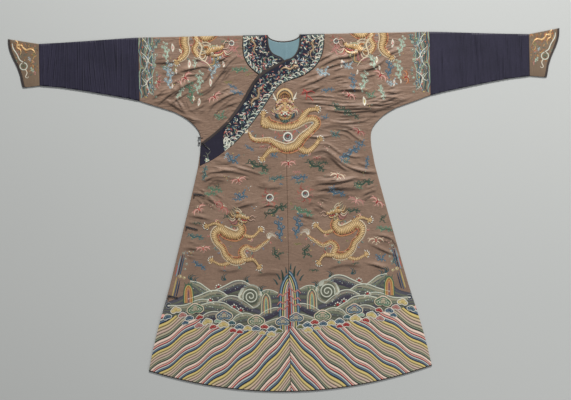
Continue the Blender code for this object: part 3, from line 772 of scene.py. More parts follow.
# the band tail is a darker navy all over: its own tone, not shade
silk_piece("band_tail", navy, (0.003, 0.003), ripple=0.0005, wall=0.0012,
           shade=lambda places: np.full(len(places), 0.5))
LINING_CREASE = ((0.9, 7, 3, (7, 572), (6, 610), (9, 655)),)
silk_piece("lining_back", lining_blue, (0.0025, 0.0025), creases=LINING_CREASE, ripple=0.0003,
           wall=0.0009)

# %% Backs
for side, hand in ((1, "left"), (-1, "right")):
    mirrored = [(height, slow, sharp, *[(side * x, y) for x, y in crest])
                for height, slow, sharp, *crest in CREASES_BACK]
    silk_piece("back_" + hand, satin, (0.008, 0.008), settle=0, creases=mirrored, wall=0.0010)


# %% [markdown]
# ## Bindings, loops and buttons
# A binding is a narrow strip of silk folded over the raw edge, so its long sides are round. The
# solids already follow the edge, so each binding is a copy of its solid with bevelled edges. The
# loops and the ball buttons are black silk cord: copies of their solids, made round by
# subdivision, with a bump where the strands lie.

# %% Bindings
EDGE_ANGLE = math.radians(50)     # an edge that bends more than this is bevelled, or stays sharp


def bound_edge(node, finish, round_edge=0.0):
    """A copy of a solid, doubles merged, its edges rounded by round_edge."""
    thing = added("silk_" + node, frame["nodes"][node].data.copy())
    thing.data.materials.clear()
    thing.data.materials.append(finish)
    work_on(thing, (bpy.ops.mesh.remove_doubles, {"threshold": 2 * SAME_PLACE}),
            (bpy.ops.mesh.tris_convert_to_quads, {"face_threshold": 0.7, "shape_threshold": 3.1}))
    if round_edge:
        bevel = thing.modifiers.new("round_edge", "BEVEL")
        bevel.width, bevel.segments, bevel.limit_method = round_edge, 3, "ANGLE"
        bevel.angle_limit = EDGE_ANGLE
        bpy.ops.object.modifier_apply(modifier=bevel.name)
    bpy.ops.object.shade_smooth_by_angle(angle=EDGE_ANGLE)
    stands_for(thing, node)
    return thing


for node in sorted(frame["nodes"]):
    if "binding" in node:
        bound_edge(node, binding_silk, 0.0005)


# %% Loops and ball buttons
def cord_finish(name, twist, knotted=False):
    """Black silk cord: its strands climb round it, and on a knotted ball they also cross."""
    material, shader, start = new_finish(name)
    place = start.place()
    x, y, z = (start.axis(place, letter) for letter in "XYZ")
    strand = start.ridges((x + y + z) * twist)
    if knotted:
        strand = start.maths("MAXIMUM", strand, start.ridges((x - y + z) * twist))
    wire(shader, base_color=start.ramp(strand, [(0.1, rgb(13, 13, 15)), (0.9, rgb(46, 43, 44))]),
         roughness=0.62 - strand * 0.2, normal=start.bump(strand, 0.8, 0.0006))
    material["slot"] = "black_cord"
    return material


def rounded(node, finish):
    """A copy of a cord or ball that is made smooth by subdivision."""
    thing = bound_edge(node, finish)
    smooth = thing.modifiers.new("rounder", "SUBSURF")
    smooth.levels = smooth.render_levels = 1
    bpy.ops.object.modifier_apply(modifier=smooth.name)
    bpy.ops.object.shade_smooth()


twisted_cord, knotted_cord = cord_finish("twisted_cord", 900), cord_finish("knotted_cord", 700, True)
for node in sorted(frame["nodes"]):
    if "loop" in node or "button" in node:
        rounded(node, twisted_cord if "loop" in node else knotted_cord)


# %% [markdown]
# ## Silk thread
# Nearly all of the embroidery is satin stitch: flat floss laid side by side across a shape, a
# little higher in its middle. The gold dragons are couched: two gold threads lie along the shape
# and a fine stitch holds them down. The stitches are far too many to model one by one, so a mesh
# gives the padded shape and the finish draws the threads. Each mesh point keeps its own thread
# colour, and a map says how far along and across its strip it is, so the stitches follow its curve.

# %% Thread colours
THREADS = {name: rgb(*shares) for name, *shares in table("""
white 222 218 204, cream 212 196 168, pale_gold 218 186 136, gold 192 150 96, old_gold 150 108 68,
brown_gold 112 78 52, amber 176 112 64, coral 182 96 82, red 152 50 48, pink 206 154 142,
rose 166 112 104, mauve 132 106 122, sky 132 156 166, blue 62 88 106, deep_blue 36 50 74,
teal 54 84 90, ink 30 32 46, mint 144 170 148, green 76 106 82, deep_green 42 64 52,
olive 104 104 68, yellow 192 172 108, tan 184 164 134, pink_tan 182 158 144, dust 168 158 134,
sage 122 128 108, pale_rose 216 190 174, pale_blue 172 178 174, grey_blue 84 104 122, moss 96 99 84,
slate 80 79 88, plum 62 57 71, pearl 204 206 188
""")}


# %% Thread finishes
def sewn_finish(name):
    """The start of a thread's material, and how far along and across its strip each point is."""
    material, shader, start = new_finish(name)
    strip = start.node("UVMap", {"uv_map": "strip"})
    return material, shader, start, start.axis(strip, "X"), start.axis(strip, "Y")


def thread_finish(name, metal, roughness):
    """Silk thread that lies across its strip, or gold thread that lies along it."""
    material, shader, start, along, across = sewn_finish(name)
    uneven = start.noise(start.place(), 260.0)
    thread = start.ridges((across if metal else along) * 1100.0 + uneven * 2.5)
    shade = thread * 0.26 + uneven * 0.6 + 0.52
    wire(shader, base_color=start.shaded(start.attribute("thread", "Color"), shade),
         roughness=roughness, metallic=metal, normal=start.bump(thread, 0.5, 0.0003),
         specular_ior_level=0.35)
    return material


def scale_finish():
    """Gold couched over the dragon's skin, in rows of overlapping scales."""
    material, shader, start, along, across = sewn_finish("dragon_scales")
    along, across = along * 160.0, across * 160.0
    step = start.maths("FRACT", along)
    shift = start.maths("MODULO", start.maths("FLOOR", along), 2.0) * 0.5
    beside = start.maths("FRACT", across + shift) - 0.5
    out = start.maths("SQRT", step * step + beside * beside)
    edge = start.step(out, 0.42, 0.62, 0.0, 1.0) * start.maths("LESS_THAN", out, 0.95)
    shade = 0.62 + start.noise(start.place(), 210.0) * 0.96 - edge * 0.6
    wire(shader, base_color=start.shaded(start.attribute("thread", "Color"), shade),
         roughness=0.42, metallic=0.25, normal=start.bump(1.0 - edge, 0.6, 0.0005))
    return material


SILK, GOLD, SCALES = range(3)
thread_finishes = (thread_finish("silk_floss", 0.0, 0.50),
                   thread_finish("couched_gold", 0.25, 0.42), scale_finish())

# %% [markdown]
# ## The needle
# One tool sews everything. `Needlework.strip` lays a padded strip along a smooth line: its edges
# touch the cloth, its middle is raised, and its ends are closed. A petal, a disc or a leaf is a
# short strip whose width changes along it, so a dragon's head and a cloud use the same stitch.
# At the end all strips become one mesh: their points are dropped onto the cloth, and what hangs
# over a rim is pulled back onto it.

# %% Directions and maps
def directions(line):
    """Which way a line runs at each of its points, and which way is left of it."""
    way = np.gradient(line, axis=0)
    way = way / np.maximum(np.linalg.norm(way, axis=1)[:, None], 1e-9)
    return way, np.column_stack([-way[:, 1], way[:, 0]])


def toward(angle):
    """One step at an angle in radians."""
    return np.array([math.cos(angle), math.sin(angle)])


def stretched(values, count):
    """A few values spread evenly over that many places."""
    values = np.atleast_1d(values)
    return np.interp(np.linspace(0, 1, count), np.linspace(0, 1, len(values)), values)


def lay_map(mesh, values):
    """The map that stitches follow, from a pair of values for each point."""
    corners = np.empty(len(mesh.loops), dtype=int)
    mesh.loops.foreach_get("vertex_index", corners)
    mesh.uv_layers.new(name="strip").data.foreach_set("uv", values[corners].ravel())


# %% Needlework
STRIP_STEP = 0.004          # each strip lies this much higher than the last one, mm
SUNK = 0.05                 # its edges lie this deep in the cloth, mm
OVERHANG = 0.05             # thread beyond the cloth is gathered this close to it, metres


class Needlework:
    """Strips of thread gathered into one mesh that lies on some cloth."""

    def __init__(self, name, ground, fine=3.4, thick=1.0):
        self.name, self.ground, self.fine, self.thick = name, ground, fine, thick
        self.points, self.faces, self.shades, self.maps, self.kinds = [], [], [], [], []
        self.count = 0
        self.at()

    def at(self, x=0, y=0, turn=0.0, size=1.0, flip=1, level=0.0):
        """Put the next motif here: millimetres, degrees, a share of its size, 1 or -1, height."""
        self.place = np.array([x, y], float)
        self.turn, self.size, self.flip, self.level = math.radians(turn), size, flip, level
        return self

    def strip(self, path, width, shade, rise=0.5, columns=2, kind=SILK, step=None):
        """A padded strip; width is in millimetres at even steps along it."""
        line = smooth_line(path, step or self.fine / self.size)
        widths = np.maximum(stretched(width, len(line)), 0.5)
        across = np.linspace(-1, 1, columns + 1)
        offset = across[None, :] * widths[:, None] / 2
        flat = line[:, None] + directions(line)[1][:, None] * offset[:, :, None]
        flat = flat * self.size * (self.flip, 1)
        cos, sin = math.cos(self.turn), math.sin(self.turn)
        flat = flat @ np.array([[cos, sin], [-sin, cos]]) + self.place
        swell = np.minimum(1.0, widths * self.size / 5.0)[:, None]
        lift = rise * swell * np.sqrt(1.001 - across[None, :] ** 2) - SUNK
        self.points.append(np.dstack([flat * MM, (lift + self.level) * MM * self.thick]).reshape(-1, 3))
        self.level += STRIP_STEP
        colours = np.array([THREADS[name] for name in ([shade] if isinstance(shade, str) else shade)])
        mixed = np.column_stack([stretched(share, columns + 1) for share in colours.T])
        # painted shade: each strip is darker towards its edges, where it dips into the cloth, and a
        # little lighter along its middle
        mixed *= (1.06 - 0.5 * np.abs(across) ** 3)[:, None]     # darker where it dips
        self.shades.append(np.tile(mixed, (len(line), 1)))
        long = np.linalg.norm(np.diff(line, axis=0), axis=1).sum() * self.size * MM
        walked = np.linspace(0, 1, len(line)) * long
        self.maps.append(np.dstack([np.broadcast_to(walked[:, None], offset.shape),
                                    offset * self.size * MM]).reshape(-1, 2))
        corner = self.count + np.arange(offset.size).reshape(offset.shape)
        top = np.stack([corner[:-1, :-1], corner[1:, :-1], corner[1:, 1:], corner[:-1, 1:]], 2)
        under = np.stack([corner[:-1, 0], corner[:-1, -1], corner[1:, -1], corner[1:, 0]], 1)
        made = top.reshape(-1, 4).tolist() + under.tolist()
        made += [corner[0].tolist(), corner[-1, ::-1].tolist()]
        self.faces += made
        self.kinds += [kind] * len(made)
        self.count += offset.size

    def disc(self, x, y, radius, shade, rise, kind=SILK):
        """A round padded spot."""
        widths = 2 * radius * np.sqrt(1 - np.linspace(-0.98, 0.98, 9) ** 2)
        self.strip([(x - radius, y), (x, y), (x + radius, y)], widths, shade, rise, kind=kind,
                   step=min(self.fine / self.size, radius / 2))

    def ring(self, x, y, radius, width, shade, start, turn, end=None, rise=0.5):
        """A ring, an arc, or, with an end radius, a spiral."""
        stops = np.radians(np.linspace(start, start + turn, max(4, int(abs(turn) / 40) + 1)))
        radii = np.linspace(radius, radius if end is None else end, len(stops))
        self.strip(np.column_stack([x + radii * np.cos(stops), y + radii * np.sin(stops)]), width,
                   shade, rise)

    def sew(self):
        """Drop the strips onto the cloth and make them one object."""
        points, ground = np.vstack(self.points), self.ground
        low, high = ground.points[:, :2].min(0), ground.points[:, :2].max(0)
        points[:, :2] = np.clip(points[:, :2], low - OVERHANG, high + OVERHANG)
        height = ground.height(points[:, :2])
        lost = np.isnan(height)
        if lost.any():
            rim, _ = ground.to_rim(points[lost, :2])
            points[lost, :2], height[lost] = rim[:, :2], rim[:, 2]
        points[:, 2] = height + ground.side * points[:, 2]
        kept = [i for i, face in enumerate(self.faces) if not lost[face].all()]
        mesh = bpy.data.meshes.new(self.name)
        mesh.from_pydata(points.tolist(), [], [self.faces[i] for i in kept])
        colours = np.ones((len(points), 4))
        colours[:, :3] = np.vstack(self.shades)
        mesh.color_attributes.new("thread", "FLOAT_COLOR", "POINT").data.foreach_set(
            "color", colours.ravel())
        lay_map(mesh, np.vstack(self.maps))
        for finish in thread_finishes:
            mesh.materials.append(finish)
        mesh.polygons.foreach_set("material_index", [self.kinds[i] for i in kept])
        thing = added(self.name, mesh)
        work_on(thing, (bpy.ops.mesh.delete_loose, {}),
                (bpy.ops.mesh.normals_make_consistent, {"inside": False}))
        bpy.ops.object.shade_smooth_by_angle(angle=math.radians(60))
        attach(thing, "root")
        print(thing.name, "triangles:", sum(len(self.faces[i]) - 2 for i in kept))
        return thing


# %% [markdown]
# ## The striped hem
# Slanting stripes of all colours stand for deep water. They rise to the middle seam from both
# sides and sway a little on the way. Each stripe is a padded row of satin stitch. One strip for
# each row would take too many triangles, so a panel gets one field: a map counts the repeats, the
# colours are read off a ramp, and the same count raises each row.

# %% Striped hem
STRIPE_ROWS = (              # share of a repeat, threads of one padded row, from above
    (0.13, "pale_rose"), (0.10, "pink", "red"), (0.08, "pale_blue"),
    (0.10, "grey_blue", "deep_blue"), (0.14, "yellow"), (0.12, "tan"), (0.12, "pink_tan"),
    (0.11, "dust"), (0.10, "sage", "deep_green"),
)
RED_SHARE = 0.17             # how far down a repeat its red row is
STRIPE_LINES = (4, -100, -186, -270, -354, -456, -575, -690, -800)    # red rows in the middle, mm
# x and y of the upper end of the stripes, mm
STRIPE_TOP = table("0 -462, 100 -464, 200 -452, 300 -430, 350 -418, 420 -402, 520 -388, 600 -384")
RIGHT_RISE = 14              # the waves on the viewer's right sit this much higher, mm
HIDDEN_EDGE = 0.004          # the field runs on this far under the waves
FIELD_LIFT = 0.0002          # and lies this far above the silk


def stripe_count(x, y):
    """How many repeats of the stripes lie above this place. x and y in metres."""
    a = np.abs(x) / MM
    slope = 0.63 * a + 90 * (1 - np.exp(-a / 120))
    sway = 4.6 * np.sin(2 * math.pi * a / 108 - 0.6) * fade_in(a, 0, 70)
    across = y / MM + slope + sway - np.where(x > 0, RIGHT_RISE, 0)
    return np.interp(-across, [-line for line in STRIPE_LINES],
                     np.arange(len(STRIPE_LINES)) + RED_SHARE)


def stripe_top(x):
    """Where the stripes end above, in metres."""
    return (np.interp(np.abs(x) / MM, *np.transpose(STRIPE_TOP)) + np.where(x > 0, RIGHT_RISE, 0)) * MM


# %% Stripe finish
def stripe_finish():
    """Rows of satin stitch in the hem's colours, with painted shade and highlight on each row."""
    material, shader, start, count, along = sewn_finish("hem_stripes")
    uneven = start.noise(start.place(), 240.0)
    colours, shades, reached = [], [], 0.0
    for share, *names in STRIPE_ROWS:
        colours += [(reached + share * i / len(names), THREADS[name]) for i, name in enumerate(names)]
        # painted shade in the groove between rows and a painted highlight on the upper part of each row
        shades += [(reached + share * part, (tone,) * 3)
                   for part, tone in ((0, 0.08), (0.3, 1.24), (0.66, 1.08))]
        reached += share
    wobble = start.maths("FRACT", count + uneven * 0.02 - 0.01)
    painted_row_light = start.ramp(wobble, shades + [(1.0, (0.08,) * 3)])
    thread = start.ridges(along * 1500.0 + uneven * 3.0)
    colour = start.ramp(wobble, colours, interpolation="CONSTANT")
    shade = (thread * 0.2 + uneven * 0.3 + 0.78) * painted_row_light
    wire(shader, base_color=start.shaded(colour, shade), roughness=0.5,
         normal=start.bump(thread, 0.4, 0.0003), specular_ior_level=0.3)
    return material


striped = stripe_finish()
ridges = np.cumsum([0.0] + [row[0] for row in STRIPE_ROWS])     # where the rows of a repeat begin


# %% The striped fields
def striped_hem(name, ground, cell=0.0030, relief=0.0013):
    """A field of padded stripes on the lower part of a panel."""
    middle = ground.points[ground.faces].mean(1)
    low = middle[:, 1] < stripe_top(middle[:, 0]) + HIDDEN_EDGE
    field = Ground(ground.points, ground.faces[low], ground.side)
    used = field.points[np.unique(field.faces)]
    points, faces = spread(field, *(lines_over(used, axis, cell) for axis in (0, 1)))
    share = stripe_count(points[:, 0], points[:, 1]) % 1.0
    number = np.clip(np.searchsorted(ridges, share, side="right") - 1, 0, len(ridges) - 2)
    t = (share - ridges[number]) / (ridges[number + 1] - ridges[number])
    points[:, 2] += ground.side * (relief * np.sqrt(np.clip(4 * t * (1 - t), 0, 1)) + FIELD_LIFT)
    thing = cloth_object(name, points, faces, striped)
    spots = places_of(thing.data)
    lay_map(thing.data, np.column_stack([stripe_count(spots[:, 0], spots[:, 1]), spots[:, 0]]))
    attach(thing, "root")
    print(name, "triangles:", 2 * len(faces))


BELOW = 0.0005               # what is sewn on the backs starts this far above the table
BACK_CELL = 0.012


def underside(node):
    """The side of a back that lies on the table, in cells small enough to be sewn on."""
    points, faces = sides_of(frame["nodes"][node], UNDERSIDE)
    whole = Ground(points + (0.0, 0.0, BELOW), faces, UNDERSIDE)
    points, quads = spread(whole, *(lines_over(points, axis, BACK_CELL) for axis in (0, 1)))
    return Ground(points, np.vstack([quads[:, :3], quads[:, [0, 2, 3]]]), UNDERSIDE)


for hand, node in (("left", "front_left"), ("right", "front_lap")):
    striped_hem("hem_stripes_" + hand, tops[node])
    striped_hem("hem_stripes_back_" + hand, underside("back_" + hand), 0.0065, 0.0003)


# %% [markdown]
# ## Small motifs
# Every motif is a function that draws around its own middle, in millimetres. `at` says where that
# is, and whether it is turned, scaled or flipped. Clouds and bats come from short tables of strokes,
# so the same few forms in other threads fill the whole robe.

# %% Clouds, buds and bats
CLOUDS = {                   # strokes: width, points; curls: middle, radius, starting angle
    "long": (table("6 -44 -6 -26 4 -6 -3 14 5 30 0 46 5, 4 -26 4 -20 13, 4 14 5 22 -7"),
             table("-30 9 7 90, -16 11 7 200, -6 3 8 20, -14 -8 6 270, 8 11 7 150, 22 -6 7 60, "
                   "34 -5 5 330, 26 9 6 10")),
    "branch": (table("6 2 -26 4 -12 -3 0 3 12 8 24, 4 2 -10 16 -8 28 -12"),
               table("6 24 7 100, -6 17 6 210, -9 4 7 60, 6 6 8 0, -4 -10 7 160, 14 -8 7 300, "
                     "27 -11 5 240, 2 -25 5 30")),
    "tall": (table("6 0 -46 -5 -28 5 -8 -4 14 2 38, 4 -4 -28 -13 -20, 4 4 -6 14 0, 4 -4 16 -14 22"),
             table("-13 -16 8 40, 13 5 8 200, -13 25 8 0, 10 36 8 120, -2 44 6 60, 0 -44 5 250, "
                   "2 -20 9 160, -3 2 8 330, 5 18 8 90, -5 -33 6 10")),
    "knot": (table("5 -18 -4 -4 4 8 -2 20 4"),
             table("-12 3 7 20, 0 6 8 160, 12 -2 7 250, -2 -6 6 90")),
}
WAYS = {way: threads for way, *threads in table("""
teal teal mint, green green mint, dark deep_green sage, blue blue sky, pale sky white,
jade mint white, gold olive yellow, pink rose pink, red red pink, yellow yellow cream
""")}


def curl(w, x, y, radius, start, main, pale):
    w.ring(x, y, radius * 0.85, max(2.6, radius * 0.42), (pale, main, main), start, 350,
           end=radius * 0.5)
    w.disc(x, y, max(2.0, radius * 0.36), (main, pale, main), 1.0)


def cloud(w, form, way):
    """A curling cloud in a pair of threads."""
    main, pale = WAYS[way]
    strokes, curls = CLOUDS[form]
    for width, *points in strokes:
        w.strip(pairs(points), [1, width + 1, width + 2, width + 1, 1], (pale, main, main, main))
    for place in curls:
        curl(w, *place, main, pale)
    for i, (x, y, *_) in enumerate(curls[::3]):
        w.disc(x + (13, -15)[i % 2], y + (-14, 12)[i % 2], 2.2,
               ("yellow", "pink", "sage", "cream")[(i + len(curls)) % 4], 0.8)


def oval(w, way):
    """An upright oval bud with a pale rim."""
    main, pale = WAYS[way]
    w.strip([(-1, -17), (1, 0), (-1, 17)], [2, 12, 15, 12, 2], ("cream", "white", "cream"))
    w.strip([(-1, -10), (1, 0), (-1, 11)], [1, 6, 8, 6, 1], (main, pale, main), 0.9)


def bat(w, wing, back):
    """A small bat: two broad scalloped wings, a round back and a curled tail."""
    for hand in (-1, 1):
        for widths, *points in (((6, 11, 9, 2), (3, 2), (14, 9), (27, 5), (36, -8)),
                                ((5, 7, 5, 1), (4, -3), (12, -6), (18, -14)),
                                ((3, 5, 1), (26, 8), (33, 12), (39, 8))):
            w.strip([(hand * x, y) for x, y in points], widths, ("cream", wing, back)[::hand], 0.6)
        for x, y in ((15, 2), (25, -2)):
            w.strip([(hand * 5, 6), (hand * x, y)], [3, 1.5], back, 0.9)
        w.strip([(hand * 2, 12), (hand * 6, 17), (hand * 11, 17)], [3, 2, 0.8], "cream")
    w.strip([(0, 10), (0, 0), (1, -9)], [6, 10, 4], back, 1.2)
    w.strip([(1, -9), (5, -16), (-1, -21), (-6, -17)], [4, 3, 2, 0.8], wing, 0.6)
    w.disc(0, 11, 3.6, "cream", 1.4)


# %% Flames and pearls
def flames(w, x, y, out, headings, length, shades, width):
    """Wisps of fire that leave a ring of radius out at these headings, each with a bend."""
    for i, heading in enumerate(headings):
        way = toward(math.radians(heading))
        aside = np.array([-way[1], way[0]])
        points = [(x, y) + (out + length * share) * way + bend * length * aside
                  for share, bend in ((0, 0.0), (0.5, 0.35), (1.0, -0.1))]
        w.strip(points, [width, width * 0.7, 0.7], shades[i % len(shades)], 0.7)


def pearl(w, radius):
    """A pearl: a white ring round a dark heart with a small red swirl, and forked flames."""
    fire = ("coral", "rose", "red")
    for i, heading in enumerate(range(20, 380, 45)):
        flames(w, 0, 0, radius, (heading,), radius * (1.9, 1.3)[i % 2], (fire[i % 3],), radius * 0.2)
        fork = toward(math.radians(heading + 14)) * radius * 1.7
        flames(w, *fork, 0, (heading - 40, heading + 60), radius * 0.7, (fire[i % 3],), radius * 0.14)
    w.disc(0, 0, radius, ("slate", "moss"), 0.6)
    w.level += 0.15
    w.ring(0, 0, radius * 0.86, radius * 0.34, "white", 0, 385, rise=0.9)
    w.ring(0, 0, radius * 0.44, radius * 0.2, ("pearl", "sky"), 200, 200, rise=0.8)
    w.ring(0, 0, radius * 0.4, radius * 0.26, "red", 30, 250, end=radius * 0.05, rise=1.0)


# %% Cloud heads
HEAD_OUTLINE = table("0 -14, -16 -20, -32 -12, -33 2, -19 13, -9 20, 0 22")


def cloud_head(w, way, rim, crown):
    """A curled cloud head, 70 wide: outlines inside each other and two scrolls."""
    main, pale = WAYS[way]
    large = w.size > 0.7
    for x, y, radius in ((-18, -4, 15), (18, -4, 15), (0, 6, 16)):
        w.disc(x, y, radius, "dust" if large else main, 0.4)
    outlines = ((1.0, "cream", 4.5), (0.86, main, 7), (0.68, rim, 3.5), (0.52, main, 5))
    for share, shade, width in outlines if large else ((1.0, "white", 6), (0.66, rim, 4)):
        for hand in (-1, 1):
            w.strip([(hand * x * share, (y + 4) * share - 4) for x, y in HEAD_OUTLINE],
                    [width * 0.7, width, width, width], shade, 0.8)
    for hand in (-1, 1):
        w.ring(hand * 17, -5, 9.5, 5, main, 90 - hand * 60, hand * 400, end=2.5, rise=0.9)
        w.ring(hand * 17, -5, 7.5, 3.2, "white", 90 - hand * 60, hand * 400, end=2.5, rise=1.1)
    w.strip([(-15, 12), (-8, 19), (0, 20), (8, 19), (15, 12)], [3, 6, 7, 6, 3], (crown, "white"), 1.1)
    w.strip([(-9, 5), (0, 11), (9, 5)], [3, 5, 3], crown, 1.0)


# %% Waves, rocks and spray
def swell(w, crest, depth, shades):
    """The back of a wave: rows of thread that follow its crest and thin out at both ends."""
    crest = smooth_line(crest, 6.0)
    down = -directions(crest)[1]
    down[down[:, 1] > 0] *= -1
    belly = (0.25 + 0.75 * np.sin(math.pi * np.linspace(0.05, 0.95, len(crest))) ** 0.8)[:, None]
    for i in reversed(range(len(shades) - 1)):
        middle, width = depth * (0.14 + 0.36 * (i + 0.5)), depth * 0.40
        w.strip(crest + down * middle * belly, width * belly[:, 0] + 2.0,
                (shades[i], shades[i + 1]), 0.5)
    w.level += 0.2
    for share, width, shade in ((0.05, 0.14, "pearl"), (0.32, 0.06, "dust"), (0.6, 0.05, "sage")):
        w.strip(crest + down * depth * share * (belly if share > 0.1 else 1), depth * width, shade, 0.9)


def scroll(w, radius):
    """A wave that has rolled up like a snail's shell."""
    for share, shade in ((1.1, "pearl"), (0.96, "dust"), (0.84, "sage"), (0.72, "moss")):
        w.disc(0, 0, radius * share, shade, 0.5)
        w.level += 0.12
    w.ring(0, 0, radius * 0.62, radius * 0.3, "moss", 200, -330, end=radius * 0.36)
    w.level += 0.15
    w.ring(0, 0, radius * 0.72, radius * 0.12, "pearl", 200, -760, end=radius * 0.08, rise=1.0)


def rock(w, half, height, shades, top="deep_green"):
    """A steep rock: nested arches whose stripes run down both flanks."""
    step = half / len(shades)
    for i, shade in enumerate(shades):
        a, peak = half - i * step, height - i * step * 1.3
        w.strip([(-a, 0), (-a * 0.96, peak * 0.45), (-a * 0.75, peak * 0.8), (0, peak),
                 (a * 0.75, peak * 0.8), (a * 0.96, peak * 0.45), (a, 0)], step * 1.15, shade, 0.7)
    for x, lean in ((-0.5, -6), (0.0, 1), (0.5, 6)):
        w.strip([(x * half, height * 0.9), (x * half + lean, height + half * 0.45)],
                [half * 0.25, half * 0.16, 0.8], top, 0.8)


def spray(w, spots, shades=("white", "pearl")):
    """Drops: x, y and radius of each."""
    for i, (x, y, radius) in enumerate(spots):
        w.disc(x, y, radius, shades[i % len(shades)], 0.9)


# %% [markdown]
# ## Dragons
# A dragon is a scaled body along a curve, legs with five toes, and a head. The frontal one on the
# chest looks out of the cloth, the others are seen from the side. The body tapers, has pale fins
# along its back and coral thread along its belly.

# %% Dragon bodies and legs
def dragon_body(w, path, widths):
    """Scales along a curve, with fins on the right hand of its path and a coral belly."""
    line = smooth_line(path, 6.0)
    widths, (way, left) = stretched(widths, len(line)), directions(line)
    out, wide = -left, widths[:, None]
    for i in range(1, len(line) - 1):
        root = line[i] + out[i] * widths[i] * 0.42
        w.strip([root + way[i] * 3, root + out[i] * (2 + widths[i] * 0.08) - way[i] * 6],
                [5.0, 1.0], ("cream", "pale_gold", "cream")[i % 3], 0.6)
        if i % 6 == 3:
            heading = math.degrees(math.atan2(out[i][1], out[i][0]))
            flames(w, *(root + out[i] * 6), 0, (heading - 15, heading + 15), 10,
                   (("sky", "mauve"), ("pink", "coral"), ("mint", "blue"))[i // 6 % 3], 3.5)
    w.level += 0.15
    w.strip(line - out * wide * 0.42, widths * 0.18, ("coral", "gold"), 0.7)
    w.strip(line + out * wide * 0.44, widths * 0.12, "cream", 0.9)
    w.level += 0.2
    w.strip(line + out * wide * 0.02, widths * 0.84, ("old_gold", "pale_gold", "pale_gold", "gold",
                                                      "brown_gold"), 1.4, 6, SCALES)
    w.level += 0.75
    for i in range(1, len(line) - 1):
        if math.sin(3.7 * i) < 0:
            continue
        low = line[i] - out[i] * widths[i] * (0.14 + 0.1 * math.sin(2.1 * i))
        w.strip([low, low - out[i] * widths[i] * 0.3 + way[i] * 5], [1.2, 3.2, 1.2],
                ("coral", "pale_gold", "pink", "red")[i % 4], 0.35)
        if i % 2:
            high = line[i] + out[i] * widths[i] * 0.3 * math.sin(1.7 * i)
            w.strip([high, high + out[i] * widths[i] * 0.16 - way[i] * 9], [4.4, 1.0],
                    ("pale_gold", "brown_gold", "cream", "amber", "gold")[i % 5], 0.5)


def dragon_leg(w, path, width):
    """A leg with flames at its elbow and five clawed toes."""
    line = smooth_line(path, 5.0)
    elbow, knee = line[len(line) // 2], line[-1] - line[-2]
    heading = math.degrees(math.atan2(knee[1], knee[0]))
    flames(w, elbow[0], elbow[1], 2, (heading + 150, heading + 180, heading + 205), 20,
           ("coral", "pale_gold", "pink"), 5)
    w.strip(line, [width * 1.15, width, width * 0.7, width * 0.6],
            ("old_gold", "pale_gold", "gold"), 1.2, 4, SCALES)
    w.level += 0.3
    foot = line[-1]
    w.disc(foot[0], foot[1], 7, ("old_gold", "gold"), 1.0, kind=GOLD)
    for turn in (-2.6, -1.2, 0, 1.2, 3.2):
        a, b = (math.radians(heading + turn * spread) for spread in (30, 15))
        mid = foot + toward(a) * 9
        tip = mid + toward(b) * 5
        claw = tip + toward(b - 0.9) * 7
        w.strip([foot, mid, tip], [5, 6, 4.5], ("old_gold", "pale_gold", "gold"), 0.9, kind=GOLD)
        w.strip([tip, claw], [5.0, 1.2], "white", 1.0)


# %% The head seen from the side
def side_head(w):
    """A head seen from the side that looks along +x, 75 long."""
    for i, (x, y, turn) in enumerate(table("-4 18 150, -12 15 165, -18 8 172, -22 1 180, "
                                           "-20 -7 190, -14 -13 200, -6 -18 215")):
        flames(w, x, y, 0, (turn, turn + 12), 34,
               ("gold", "sage", "pale_gold", "old_gold", "cream", "rose")[i % 6:], 4.5)
    for lift in (0, 9):
        w.strip([(-4, 14 + lift / 2), (-16, 20 + lift), (-30, 21 + lift), (-42, 27 + lift)],
                [5, 4, 3, 1], ("tan", "cream"), 1.0)
        w.strip([(-22, 20 + lift), (-26, 28 + lift)], [2.6, 1], "cream", 0.9)
    w.level += 0.2
    w.strip([(-14, -12), (2, -18), (16, -18), (24, -12)], [12, 9, 7, 5], ("old_gold", "pale_gold"), 1.2,
            3, SCALES)
    w.strip([(-2, -8), (10, -11), (24, -7)], [4, 5, 3], ("red", "coral"), 0.8)
    w.level += 0.2
    w.strip([(-24, -1), (-8, 4), (6, 3), (18, -1), (30, 3)], [18, 28, 23, 13, 15],
            ("brown_gold", "gold", "pale_gold", "gold"), 1.8, 4, SCALES)
    for x in (10, 16, 22):
        w.strip([(x, -5), (x + 1, -8)], [2.4, 0.8], "white", 1.5)
    w.level += 1.3
    w.ring(31, 5, 4.5, 2.4, "brown_gold", 200, -330, end=2, rise=0.6)
    for x, y, radius, turn in table("""-18 8 6 0, -20 -5 6 120, -9 -8 5 240, 12 8 4 60, 20 3 3.6 0,
            -8 15 5 30, -27 3 5 200, 2 -16 4 90"""):
        w.ring(x, y, radius, 2.6, "brown_gold" if radius > 5 else "cream", turn, 400, end=1.2, rise=0.6)
    w.strip([(-9, 8), (-2, 13), (6, 11), (11, 8)], [2, 3.2, 3.2, 1], ("sage", "mint"), 0.9)
    w.disc(1, 6, 3.2, "white", 0.8)
    w.disc(2, 6, 2.0, "ink", 1.0)
    w.strip([(-14, 12), (-22, 17), (-25, 11)], [4, 5, 1], "amber", 0.9)
    for points in paths("30 7 40 15 50 9 56 16, 26 -3 38 -6 46 1 55 -4"):
        w.strip(points, [2.6, 2.4, 2, 0.7], ("cream", "pink"), 0.9)
    flames(w, 4, -21, 0, (-150, -120, -90), 12, ("sage", "pale_gold"), 3.5)


